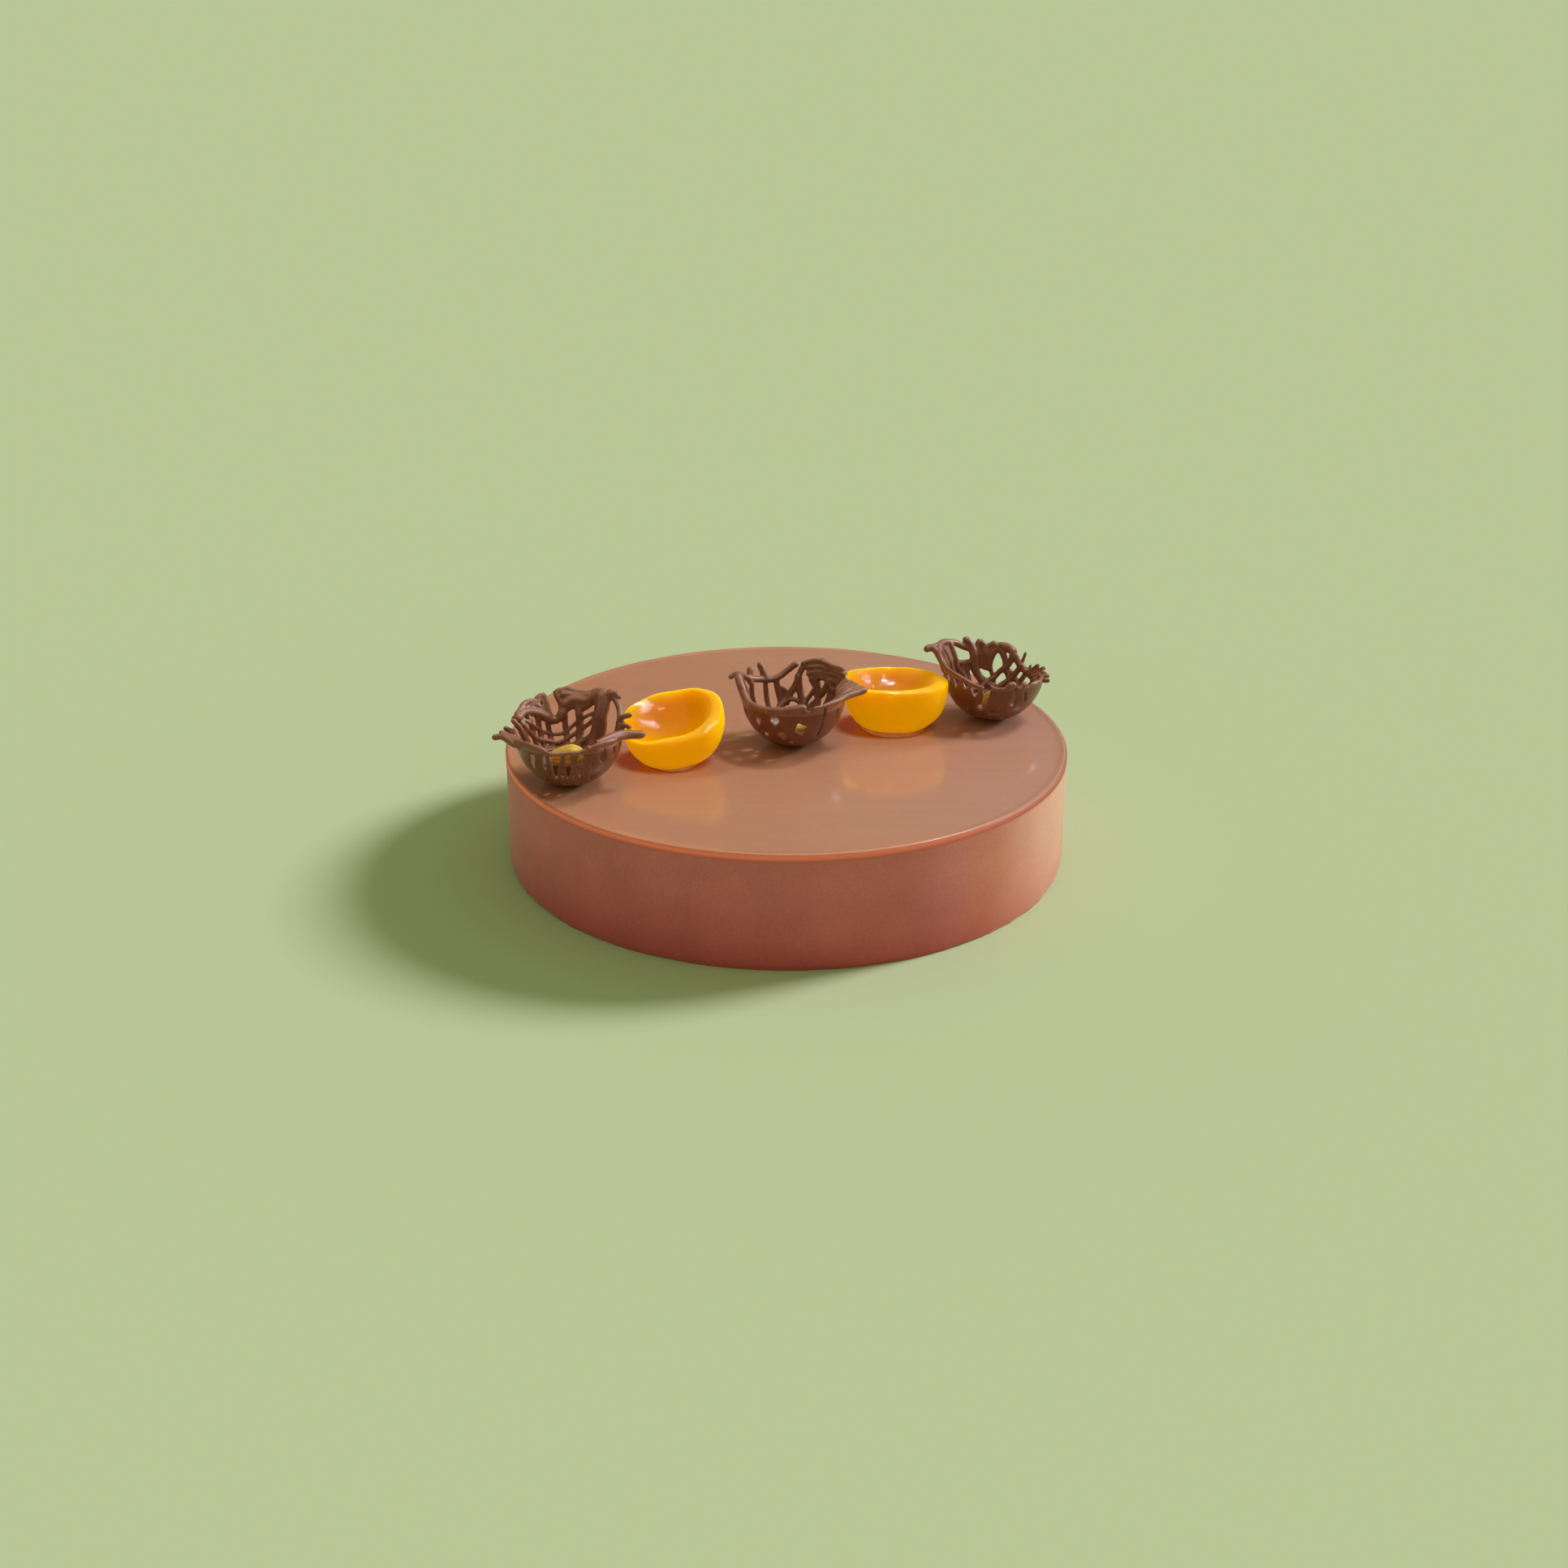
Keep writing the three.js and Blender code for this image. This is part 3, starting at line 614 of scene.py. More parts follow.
def finish_piece(piece, material, slot, node):
    """Gives a finished piece its material, and ties it to the lamps and the frame."""
    piece.data.materials.clear()
    piece.data.materials.append(material)
    groups = [TORTE_LAMPS]
    groups.append(GLINT_LAMPS if slot == "apricot" else TORTE_SHADOW)
    if slot in ("mousse", "glaze"):
        groups.append(FLOOR_SHADOW)
    for name in groups:
        light_group(name).objects.link(piece)
    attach(piece, "root")
    if node:
        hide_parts(node)


# ---------------------------------------------------------------------------------------
# Materials

def add_node(tree, kind, links=None, inputs=None, **settings):
    """Adds a shader node, with its settings, its input values and the links into it."""
    node = tree.nodes.new(kind)
    for name, value in settings.items():
        setattr(node, name, value)
    for name, value in (inputs or {}).items():
        node.inputs[name].default_value = value
    for name, socket in (links or {}).items():
        tree.links.new(socket, node.inputs[name])
    return node


def new_material(name):
    """An empty node material with its output. Returns the material, its tree and output."""
    material = bpy.data.materials.new(name)
    material.use_nodes = True
    tree = material.node_tree
    tree.nodes.clear()
    output = tree.nodes.new("ShaderNodeOutputMaterial")
    return material, tree, output


def rgba(colour, factor=1.0):
    """A colour, made that much brighter, as the four values that a node takes."""
    return tinted(colour, factor, factor, factor)


def tinted(colour, red, green, blue):
    """A colour with each channel changed by a factor, as the four values that a node takes."""
    return (colour[0] * red, colour[1] * green, colour[2] * blue, 1.0)


def per_size(size):
    """The scale of a noise with a cell of that size in metres. Its spots are half as wide."""
    return 1.0 / size


def set_stops(ramp, stops):
    """Sets the stops of a colour ramp node, each a position and a colour."""
    elements = ramp.color_ramp.elements
    while len(elements) > 1:
        elements.remove(elements[-1])
    elements[0].position = stops[0][0]
    elements[0].color = stops[0][1]
    for position, colour in stops[1:]:
        elements.new(position).color = colour


def mousse_material():
    """Milk chocolate mousse, frozen in a ring: the side is dull and velvety with a fine grain."""
    material, tree, output = new_material("milk_chocolate_mousse")
    base = colours().mousse
    place = add_node(tree, "ShaderNodeTexCoord")
    # Broad, barely seen patches where the mousse thawed unevenly against the ring
    patches = add_node(
        tree, "ShaderNodeTexNoise", {"Vector": place.outputs["Object"]},
        {"Scale": per_size(mm(22)), "Detail": 3.0, "Roughness": 0.55},
    )
    # Fine grain: air bubbles of about 0.6 mm, the finest that still shows
    grain = add_node(
        tree, "ShaderNodeTexNoise", {"Vector": place.outputs["Object"]},
        {"Scale": per_size(mm(1.1)), "Detail": 5.0, "Roughness": 0.8},
    )
    tone = add_node(tree, "ShaderNodeValToRGB", {"Fac": patches.outputs["Fac"]})
    set_stops(tone, [(0.3, rgba(base, 0.93)), (0.7, rgba(base, 1.06))])
    speck = add_node(tree, "ShaderNodeValToRGB", {"Fac": grain.outputs["Fac"]})
    set_stops(speck, [(0.36, (0.9, 0.89, 0.88, 1)), (0.64, (1.05, 1.05, 1.05, 1))])
    grained = add_node(
        tree, "ShaderNodeMixRGB", {"Color1": tone.outputs["Color"], "Color2": speck.outputs["Color"]},
        {"Fac": 1.0}, blend_type="MULTIPLY",
    )
    # Painted light and shade: low down the mousse is painted a deeper, redder brown, standing in for red
    # light bounced up from below
    parts = add_node(tree, "ShaderNodeSeparateXYZ", {"Vector": place.outputs["Object"]})
    height = add_node(
        tree, "ShaderNodeMapRange", {"Value": parts.outputs["Z"]}, {"From Max": mm(34)},
    )
    painted_low_bounce = add_node(tree, "ShaderNodeValToRGB", {"Fac": height.outputs["Result"]})
    set_stops(painted_low_bounce, [
        (0.0, (0.8, 0.47, 0.46, 1)), (0.4, (0.93, 0.77, 0.77, 1)), (1.0, (1, 1, 1, 1)),
    ])
    grained = add_node(
        tree, "ShaderNodeMixRGB",
        {"Color1": grained.outputs["Color"], "Color2": painted_low_bounce.outputs["Color"]},
        {"Fac": 1.0}, blend_type="MULTIPLY",
    )
    # Painted light: towards +X the mousse is painted a yellower, paler brown, standing in for the light
    # and sheen of the lamps on that side
    across = add_node(
        tree, "ShaderNodeMapRange", {"Value": parts.outputs["X"]},
        {"From Min": mm(60), "From Max": sizes().radius}, interpolation_type="SMOOTHSTEP",
    )
    painted_side_light = add_node(tree, "ShaderNodeValToRGB", {"Fac": across.outputs["Result"]})
    set_stops(painted_side_light, [
        (0.0, (1.0, 0.87, 1.0, 1)), (0.2, (0.96, 0.84, 0.66, 1)), (0.31, (0.95, 0.88, 0.66, 1)),
        (0.5, (0.98, 1.01, 0.8, 1)), (0.86, (1.06, 1.36, 1.16, 1)), (1.0, (1.04, 1.38, 1.18, 1)),
    ])
    grained = add_node(
        tree, "ShaderNodeMixRGB",
        {"Color1": grained.outputs["Color"], "Color2": painted_side_light.outputs["Color"]},
        {"Fac": 1.0}, blend_type="MULTIPLY",
    )
    # Painted light: just under the glaze the mousse fades into the edge's orange, standing in for light
    # coming through the glaze's thin edge
    painted_glow_fade = add_node(
        tree, "ShaderNodeMapRange", {"Value": parts.outputs["Z"]},
        {"From Min": sizes().glaze_bottom - mm(1.6), "From Max": sizes().glaze_bottom, "To Max": 0.6},
        interpolation_type="SMOOTHSTEP",
    )
    glow_faded_mousse = add_node(
        tree, "ShaderNodeMixRGB", {"Fac": painted_glow_fade.outputs["Result"], "Color1": grained.outputs["Color"]},
        {"Color2": rgba(colours().glaze_edge)},
    )
    bump = add_node(
        tree, "ShaderNodeBump", {"Height": grain.outputs["Fac"]},
        {"Strength": 0.35, "Distance": mm(0.25)},
    )
    shader = add_node(
        tree, "ShaderNodeBsdfPrincipled",
        {"Base Color": glow_faded_mousse.outputs["Color"], "Normal": bump.outputs["Normal"]},
        {
            "Roughness": 0.78, "IOR": 1.45, "Specular IOR Level": 0.35,
            "Sheen Weight": 0.35, "Sheen Roughness": 0.4, "Sheen Tint": (0.95, 0.92, 0.72, 1.0),
            "Subsurface Weight": 0.25, "Subsurface Scale": mm(2.5),
            "Subsurface Radius": (1.0, 0.45, 0.25),
        },
    )
    tree.links.new(shader.outputs["BSDF"], output.inputs["Surface"])
    return material


def glaze_material():
    """Poured mirror glaze of milk chocolate and caramel: glossy, even, orange at its thin edge."""
    material, tree, output = new_material("poured_caramel_glaze")
    base = colours().glaze
    place = add_node(tree, "ShaderNodeTexCoord")
    # Long faint streaks across the top from the spatula: about 60 mm long and 5 mm apart
    stretched = add_node(
        tree, "ShaderNodeMapping", {"Vector": place.outputs["Object"]},
        {"Scale": (0.08, 1.0, 1.0)},
    )
    streaks = add_node(
        tree, "ShaderNodeTexNoise", {"Vector": stretched.outputs["Vector"]},
        {"Scale": per_size(mm(5)), "Detail": 3.0, "Roughness": 0.5},
    )
    clouds = add_node(
        tree, "ShaderNodeTexNoise", {"Vector": place.outputs["Object"]},
        {"Scale": per_size(mm(60)), "Detail": 2.0, "Roughness": 0.5},
    )
    parts = add_node(tree, "ShaderNodeSeparateXYZ", {"Vector": place.outputs["Object"]})
    # Painted light: the glaze is painted a little more orange at the left and pinker and paler at the
    # right, standing in for the cooler light from the right
    across = add_node(
        tree, "ShaderNodeMapRange", {"Value": parts.outputs["X"]},
        {"From Min": -sizes().radius, "From Max": sizes().radius},
    )
    painted_light_tone = add_node(tree, "ShaderNodeValToRGB", {"Fac": across.outputs["Result"]})
    set_stops(painted_light_tone, [
        (0.0, tinted(base, 0.98, 0.93, 0.85)), (0.5, tinted(base, 1.0, 1.02, 1.08)),
        (1.0, tinted(base, 1.03, 1.13, 1.4)),
    ])
    streak_tone = add_node(tree, "ShaderNodeValToRGB", {"Fac": streaks.outputs["Fac"]})
    set_stops(streak_tone, [(0.3, (0.96, 0.95, 0.94, 1)), (0.7, (1.0, 1.0, 1.0, 1))])
    cloud_tone = add_node(tree, "ShaderNodeValToRGB", {"Fac": clouds.outputs["Fac"]})
    set_stops(cloud_tone, [(0.3, (0.96, 0.94, 0.92, 1)), (0.7, (1.0, 1.0, 1.0, 1))])
    streaked = add_node(
        tree, "ShaderNodeMixRGB",
        {"Color1": painted_light_tone.outputs["Color"], "Color2": streak_tone.outputs["Color"]},
        {"Fac": 1.0}, blend_type="MULTIPLY",
    )
    clouded = add_node(
        tree, "ShaderNodeMixRGB",
        {"Color1": streaked.outputs["Color"], "Color2": cloud_tone.outputs["Color"]},
        {"Fac": 1.0}, blend_type="MULTIPLY",
    )
    colour = clouded
    # Painted light and shade round each half's foot: the fruit casts no shadow from the torte's lamps,
    # so its shadow, lit orange by light through the fruit, is painted into the glaze
    for half in APRICOTS:
        centre = half["middle"] + GLOW_SHIFT.to_2d()
        reach = half["size"].x * GLOW_REACH
        nearer = add_node(
            tree, "ShaderNodeMapping", {"Vector": place.outputs["Object"]},
            {
                "Location": (-centre.x, -centre.y / GLOW_NARROWING, -SERVING_LEVEL),
                "Scale": (1.0, 1 / GLOW_NARROWING, 1.0),
            },
        )
        about = add_node(
            tree, "ShaderNodeVectorMath", {0: nearer.outputs["Vector"]}, operation="LENGTH",
        )
        glow = add_node(
            tree, "ShaderNodeMapRange", {"Value": about.outputs["Value"]},
            {"From Min": reach, "From Max": reach * GLOW_FULL, "To Max": 0.97},
            interpolation_type="SMOOTHERSTEP",
        )
        colour = add_node(
            tree, "ShaderNodeMixRGB", {"Fac": glow.outputs["Result"], "Color1": colour.outputs["Color"]},
            {"Color2": rgba(linear("983a00"))},
        )
    # Down its edge the glaze first shows a deep sienna line, a painted dark reflection, then,
    # where light comes through from the top, a painted orange glow that fades into the mousse
    flat = add_node(
        tree, "ShaderNodeMapping", {"Vector": place.outputs["Object"]}, {"Scale": (1.0, 1.0, 0.0)},
    )
    from_axis = add_node(
        tree, "ShaderNodeVectorMath", {0: flat.outputs["Vector"]}, operation="LENGTH",
    )
    edge = add_node(
        tree, "ShaderNodeMapRange", {"Value": from_axis.outputs["Value"]},
        {"From Min": sizes().radius - mm(0.85), "From Max": sizes().radius - mm(0.4)},
    )
    below = add_node(
        tree, "ShaderNodeMapRange", {"Value": parts.outputs["Z"]},
        {"From Min": sizes().rim_height, "From Max": sizes().glaze_bottom},
    )
    rim = colours().glaze_edge
    band = add_node(tree, "ShaderNodeValToRGB", {"Fac": below.outputs["Result"]})
    set_stops(band, [
        (0.2, tinted(rim, 0.6, 0.62, 0.5)), (0.34, rgba(rim)), (0.62, rgba(rim)),
        (1.0, rgba(rim, 0.85)),
    ])
    # It is thicker at the right, and painted darker there: painted shade where the light makes it look a
    # deep sienna
    painted_edge_shade = add_node(tree, "ShaderNodeValToRGB", {"Fac": across.outputs["Result"]})
    set_stops(painted_edge_shade, [
        (0.0, (1, 1, 1, 1)), (0.7, (1, 1, 1, 1)), (0.885, (0.6, 0.55, 0.55, 1)),
        (0.98, (0.36, 0.3, 0.3, 1)),
    ])
    band = add_node(
        tree, "ShaderNodeMixRGB",
        {"Color1": band.outputs["Color"], "Color2": painted_edge_shade.outputs["Color"]},
        {"Fac": 1.0}, blend_type="MULTIPLY",
    )
    edged = add_node(
        tree, "ShaderNodeMixRGB",
        {
            "Fac": edge.outputs["Result"], "Color1": colour.outputs["Color"],
            "Color2": band.outputs["Color"],
        },
    )
    # The rounded edge is duller than the mirror-like top
    dull = add_node(
        tree, "ShaderNodeMapRange", {"Value": edge.outputs["Result"]}, {"To Min": 0.09, "To Max": 0.5},
    )
    # Light sinks deep into the top, and the thin edge lets it out again, as a painted glow that the edge
    # emits
    sinking = add_node(
        tree, "ShaderNodeMapRange", {"Value": edge.outputs["Result"]}, {"To Min": 0.6, "To Max": 0.1},
    )
    let_out = add_node(tree, "ShaderNodeValToRGB", {"Fac": below.outputs["Result"]})
    set_stops(let_out, [
        (0.15, (0.12, 0.03, 0.006, 1)), (0.34, (0.2, 0.052, 0.013, 1)),
        (0.6, (0.19, 0.046, 0.012, 1)), (1.0, (0.05, 0.01, 0.003, 1)),
    ])
    light_out = add_node(
        tree, "ShaderNodeMixRGB", {"Fac": edge.outputs["Result"], "Color2": let_out.outputs["Color"]},
        {"Color1": (0, 0, 0, 1)},
    )
    # A poured surface is never quite flat, so what it mirrors comes out a little wavy
    waves = add_node(
        tree, "ShaderNodeTexNoise", {"Vector": place.outputs["Object"]},
        {"Scale": per_size(mm(14)), "Detail": 2.0, "Roughness": 0.4},
    )
    bump = add_node(
        tree, "ShaderNodeBump", {"Height": waves.outputs["Fac"]},
        {"Strength": 0.15, "Distance": mm(0.5)},
    )
    shader = add_node(
        tree, "ShaderNodeBsdfPrincipled",
        {
            "Base Color": edged.outputs["Color"], "Normal": bump.outputs["Normal"],
            "Roughness": dull.outputs["Result"], "Subsurface Weight": sinking.outputs["Result"],
            "Emission Color": light_out.outputs["Color"],
        },
        {
            "IOR": 1.45, "Subsurface Scale": mm(3.0), "Subsurface Radius": (1.0, 0.4, 0.18),
            "Emission Strength": 1.0,
        },
    )
    tree.links.new(shader.outputs["BSDF"], output.inputs["Surface"])
    return material


def chocolate_material():
    """Tempered milk chocolate: shiny where it set against the mould, satin where it was piped."""
    material, tree, output = new_material("tempered_milk_chocolate")
    base = colours().chocolate
    place = add_node(tree, "ShaderNodeTexCoord")
    moulded = add_node(tree, "ShaderNodeAttribute", attribute_name="moulded")
    # Slight bloom in soft patches of a few millimetres
    bloom = add_node(
        tree, "ShaderNodeTexNoise", {"Vector": place.outputs["Object"]},
        {"Scale": per_size(mm(4)), "Detail": 4.0, "Roughness": 0.6},
    )
    piped = add_node(tree, "ShaderNodeValToRGB", {"Fac": bloom.outputs["Fac"]})
    set_stops(piped, [(0.3, tinted(base, 0.9, 0.74, 0.66)), (0.75, tinted(base, 1.45, 1.3, 1.24))])
    # Painted shade: the moulded shell, which faces down and outwards away from the light, is painted
    # darker than the piped strands
    shell = add_node(tree, "ShaderNodeValToRGB", {"Fac": bloom.outputs["Fac"]})
    set_stops(shell, [(0.3, tinted(base, 0.72, 0.54, 0.42)), (0.75, tinted(base, 0.94, 0.76, 0.62))])
    colour = add_node(
        tree, "ShaderNodeMixRGB",
        {
            "Fac": moulded.outputs["Fac"], "Color1": piped.outputs["Color"],
            "Color2": shell.outputs["Color"],
        },
    )
    # Where the shell thins out to an edge, light comes through; this is painted as a pale line
    thin = add_node(tree, "ShaderNodeValToRGB", {"Fac": moulded.outputs["Fac"]})
    set_stops(thin, [
        (0.1, (0, 0, 0, 1)), (0.4, (0.35, 0.35, 0.35, 1)), (0.6, (0.35, 0.35, 0.35, 1)),
        (0.9, (0, 0, 0, 1)),
    ])
    colour = add_node(
        tree, "ShaderNodeMixRGB",
        {"Fac": thin.outputs["Color"], "Color1": colour.outputs["Color"]},
        {"Color2": tinted(base, 1.8, 1.95, 2.1)},
    )
    gloss = add_node(
        tree, "ShaderNodeMapRange", {"Value": moulded.outputs["Fac"]},
        {"To Min": 0.42, "To Max": 0.3},
    )
    ripple = add_node(
        tree, "ShaderNodeTexNoise", {"Vector": place.outputs["Object"]},
        {"Scale": per_size(mm(1.5)), "Detail": 3.0, "Roughness": 0.55},
    )
    bump = add_node(
        tree, "ShaderNodeBump", {"Height": ripple.outputs["Fac"]},
        {"Strength": 0.3, "Distance": mm(0.2)},
    )
    shader = add_node(
        tree, "ShaderNodeBsdfPrincipled",
        {
            "Base Color": colour.outputs["Color"], "Roughness": gloss.outputs["Result"],
            "Normal": bump.outputs["Normal"],
        },
        {
            "IOR": 1.47, "Subsurface Weight": 0.12,
            "Subsurface Scale": mm(1.0), "Subsurface Radius": (1.0, 0.45, 0.25),
        },
    )
    tree.links.new(shader.outputs["BSDF"], output.inputs["Surface"])
    return material


def apricot_material():
    """Canned apricot flesh: light sinks into it, fine fibres show, and syrup wets it all over."""
    material, tree, output = new_material("canned_apricot_flesh")
    base = colours().apricot
    place = add_node(tree, "ShaderNodeTexCoord")
    lip = add_node(tree, "ShaderNodeAttribute", attribute_name="cut_edge")
    mottle = add_node(
        tree, "ShaderNodeTexNoise", {"Vector": place.outputs["Object"]},
        {"Scale": per_size(mm(9)), "Detail": 4.0, "Roughness": 0.6},
    )
    flesh = add_node(tree, "ShaderNodeValToRGB", {"Fac": mottle.outputs["Fac"]})
    set_stops(flesh, [(0.28, tinted(base, 0.97, 0.84, 0.5)), (0.72, tinted(base, 1.0, 1.1, 1.3))])
    # The pit is a deeper, ambery orange than the outside
    pit = add_node(tree, "ShaderNodeAttribute", attribute_name="pit")
    amber = add_node(
        tree, "ShaderNodeMixRGB", {"Fac": pit.outputs["Fac"], "Color1": flesh.outputs["Color"]},
        {"Color2": tinted(base, 0.95, 0.78, 0.4)},
    )
    pale = add_node(
        tree, "ShaderNodeMixRGB", {"Fac": lip.outputs["Fac"], "Color1": amber.outputs["Color"]},
        {"Color2": rgba(linear("d0a04c"))},
    )
    # Fibres of about 1.5 mm
    fibres = add_node(
        tree, "ShaderNodeTexNoise", {"Vector": place.outputs["Object"]},
        {"Scale": per_size(mm(3.5)), "Detail": 3.0, "Roughness": 0.5, "Distortion": 0.6},
    )
    bump = add_node(
        tree, "ShaderNodeBump", {"Height": fibres.outputs["Fac"]},
        {"Strength": 0.15, "Distance": mm(0.5)},
    )
    # Syrup runs off the outside in a smooth film, and stands in drops of 2 mm in the pit
    drops = add_node(
        tree, "ShaderNodeTexNoise", {"Vector": place.outputs["Object"]},
        {"Scale": per_size(mm(3.2)), "Detail": 2.0, "Roughness": 0.5, "Distortion": 0.8},
    )
    wetness = add_node(
        tree, "ShaderNodeMapRange", {"Value": pit.outputs["Fac"]}, {"To Min": 0.12, "To Max": 0.3},
    )
    film = add_node(
        tree, "ShaderNodeBump",
        {"Height": drops.outputs["Fac"], "Strength": wetness.outputs["Result"]},
        {"Distance": mm(1.1)},
    )
    # Stands in for the light that gathers in the wet flesh, and less so in the pit
    gathered = add_node(
        tree, "ShaderNodeMixRGB", {"Fac": pit.outputs["Fac"]},
        {"Color1": rgba(linear("ffb400")), "Color2": rgba(linear("e68400"))},
    )
    shader = add_node(
        tree, "ShaderNodeBsdfPrincipled",
        {
            "Base Color": pale.outputs["Color"], "Normal": bump.outputs["Normal"],
            "Coat Normal": film.outputs["Normal"], "Emission Color": gathered.outputs["Color"],
        },
        {
            "Roughness": 0.45, "IOR": 1.36, "Specular IOR Level": 0.0, "Coat Weight": 0.25,
            "Coat Roughness": 0.035, "Coat IOR": 1.42, "Subsurface Weight": 1.0,
            "Subsurface Scale": mm(16.0), "Subsurface Radius": (1.0, 0.7, 0.05),
            "Emission Strength": 0.37,
        },
    )
    tree.links.new(shader.outputs["BSDF"], output.inputs["Surface"])
    return material


def pistachio_material():
    """Shelled pistachio: a thin olive-yellow skin with darker green and brownish patches."""
    material, tree, output = new_material("pistachio_skin")
    base = colours().pistachio
    place = add_node(tree, "ShaderNodeTexCoord")
    patches = add_node(
        tree, "ShaderNodeTexNoise", {"Vector": place.outputs["Object"]},
        {"Scale": per_size(mm(4)), "Detail": 5.0, "Roughness": 0.6},
    )
    skin = add_node(tree, "ShaderNodeValToRGB", {"Fac": patches.outputs["Fac"]})
    set_stops(skin, [
        (0.3, rgba(linear("a8982a"))),
        (0.48, rgba(base)),
        (0.72, rgba(linear("f0c45e"))),
    ])
    wrinkles = add_node(
        tree, "ShaderNodeTexNoise", {"Vector": place.outputs["Object"]},
        {"Scale": per_size(mm(1.2)), "Detail": 3.0, "Roughness": 0.6},
    )
    bump = add_node(
        tree, "ShaderNodeBump", {"Height": wrinkles.outputs["Fac"]},
        {"Strength": 0.4, "Distance": mm(0.15)},
    )
    shader = add_node(
        tree, "ShaderNodeBsdfPrincipled",
        {"Base Color": skin.outputs["Color"], "Normal": bump.outputs["Normal"]},
        {
            "Roughness": 0.42, "IOR": 1.47, "Subsurface Weight": 0.3,
            "Subsurface Scale": mm(1.5), "Subsurface Radius": (0.8, 0.7, 0.2),
        },
    )
    tree.links.new(shader.outputs["BSDF"], output.inputs["Surface"])
    return material


def syrup_material():
    """A thin pool of apricot syrup: a deep orange-brown film with a wet, mirror-like surface."""
    material, tree, output = new_material("apricot_syrup")
    base = colours().syrup
    place = add_node(tree, "ShaderNodeTexCoord")
    depth = add_node(
        tree, "ShaderNodeTexNoise", {"Vector": place.outputs["Object"]},
        {"Scale": per_size(mm(8)), "Detail": 2.0, "Roughness": 0.5},
    )
    tint = add_node(tree, "ShaderNodeValToRGB", {"Fac": depth.outputs["Fac"]})
    set_stops(tint, [(0.3, rgba(base, 0.9)), (0.75, rgba(linear("b87a4c")))])
    shader = add_node(
        tree, "ShaderNodeBsdfPrincipled", {"Base Color": tint.outputs["Color"]},
        {
            "Roughness": 0.05, "IOR": 1.38, "Coat Weight": 0.3, "Coat Roughness": 0.03,
            "Subsurface Weight": 0.15, "Subsurface Scale": mm(1.5),
            "Subsurface Radius": (1.0, 0.35, 0.08),
        },
    )
    tree.links.new(shader.outputs["BSDF"], output.inputs["Surface"])
    return material


def floor_material():
    """Matt paper: one pale colour with a trace of tooth."""
    material, tree, output = new_material("matt_paper")
    place = add_node(tree, "ShaderNodeTexCoord")
    tooth = add_node(
        tree, "ShaderNodeTexNoise", {"Vector": place.outputs["Object"]},
        {"Scale": per_size(mm(3)), "Detail": 2.0},
    )
    tone = add_node(tree, "ShaderNodeValToRGB", {"Fac": tooth.outputs["Fac"]})
    set_stops(tone, [(0.3, rgba(colours().floor, 0.995)), (0.7, rgba(colours().floor, 1.005))])
    shader = add_node(
        tree, "ShaderNodeBsdfPrincipled", {"Base Color": tone.outputs["Color"]},
        {"Roughness": 0.95, "Specular IOR Level": 0.0},
    )
    tree.links.new(shader.outputs["BSDF"], output.inputs["Surface"])
    return material


# ---------------------------------------------------------------------------------------
# The mousse and the glaze

class TORTE_OT_mousse(bpy.types.Operator):
    """Make the mousse torte under the glaze"""

    bl_idname = "torte.mousse"
    bl_label = "Mousse"
    bl_options = {"REGISTER", "UNDO"}

    SIDE_ROWS = 12  # rows of faces up the side
    END_RINGS = (mm(1.5), mm(20))  # insets of the flat ends, so that their edges shade crisply
    SET_BACK = mm(0.12)  # how far the side stands back from the glaze
    SIDE_WAVE = mm(0.22)  # how far the side swells or sinks

    def execute(self, context):
        radius = sizes().radius
        top = sizes().glaze_bottom
        tuck = sizes().foot_tuck
        clear_selection()
        bpy.ops.mesh.primitive_cylinder_add(
            vertices=sizes().segments, radius=radius, depth=top, location=(0, 0, top / 2),
        )
        body = name_piece("mousse_torte")
        bpy.ops.object.transform_apply(location=True, rotation=False, scale=False)
        edit(body)
        rows = [tuck / 2, tuck, 2 * tuck, 3 * tuck]
        rows += [3 * tuck + (top - 3 * tuck) * row / self.SIDE_ROWS for row in range(1, self.SIDE_ROWS)]
        for height in rows:
            bpy.ops.mesh.select_all(action="SELECT")
            bpy.ops.mesh.bisect(plane_co=(0, 0, height), plane_no=(0, 0, 1))
        for height in (0.0, top):
            pick(body, "FACE", lambda at, normal: abs(at.z - height) < CLOSE and abs(normal.z) > 0.9)
            for inset in self.END_RINGS:
                bpy.ops.mesh.inset(thickness=inset)
        clear_selection()

        def press_foot(at):
            """Draws the foot in and makes it, and less so the side, slightly uneven."""
            if at.xy.length < radius * 0.98:
                return at
            low = max(0.0, 1 - at.z / (3 * tuck))
            round_about = Vector((at.x, at.y, 0.0))
            ragged = soft_uneven(round_about, mm(9), 2) + 0.6 * soft_uneven(round_about, mm(3), 5)
            drawn_in = tuck * low ** 2 * (0.75 + 0.5 * ragged)
            between_ends = min(1, at.z / mm(8)) * min(1, (top - at.z) / mm(6))
            belly = self.SIDE_WAVE * soft_uneven(at, mm(30), 1) * between_ends
            inwards = max(0.0, drawn_in) - belly + self.SET_BACK
            share = min(1.0, (top - at.z) / mm(2))
            scale = 1 - inwards * share / radius
            return Vector((at.x * scale, at.y * scale, at.z))

        shape_vertices(body, press_foot)
        select_only(body)
        bpy.ops.object.shade_smooth_by_angle(angle=math.radians(35))
        finish_piece(body, mousse_material(), "mousse", "torte_body")
        return {"FINISHED"}


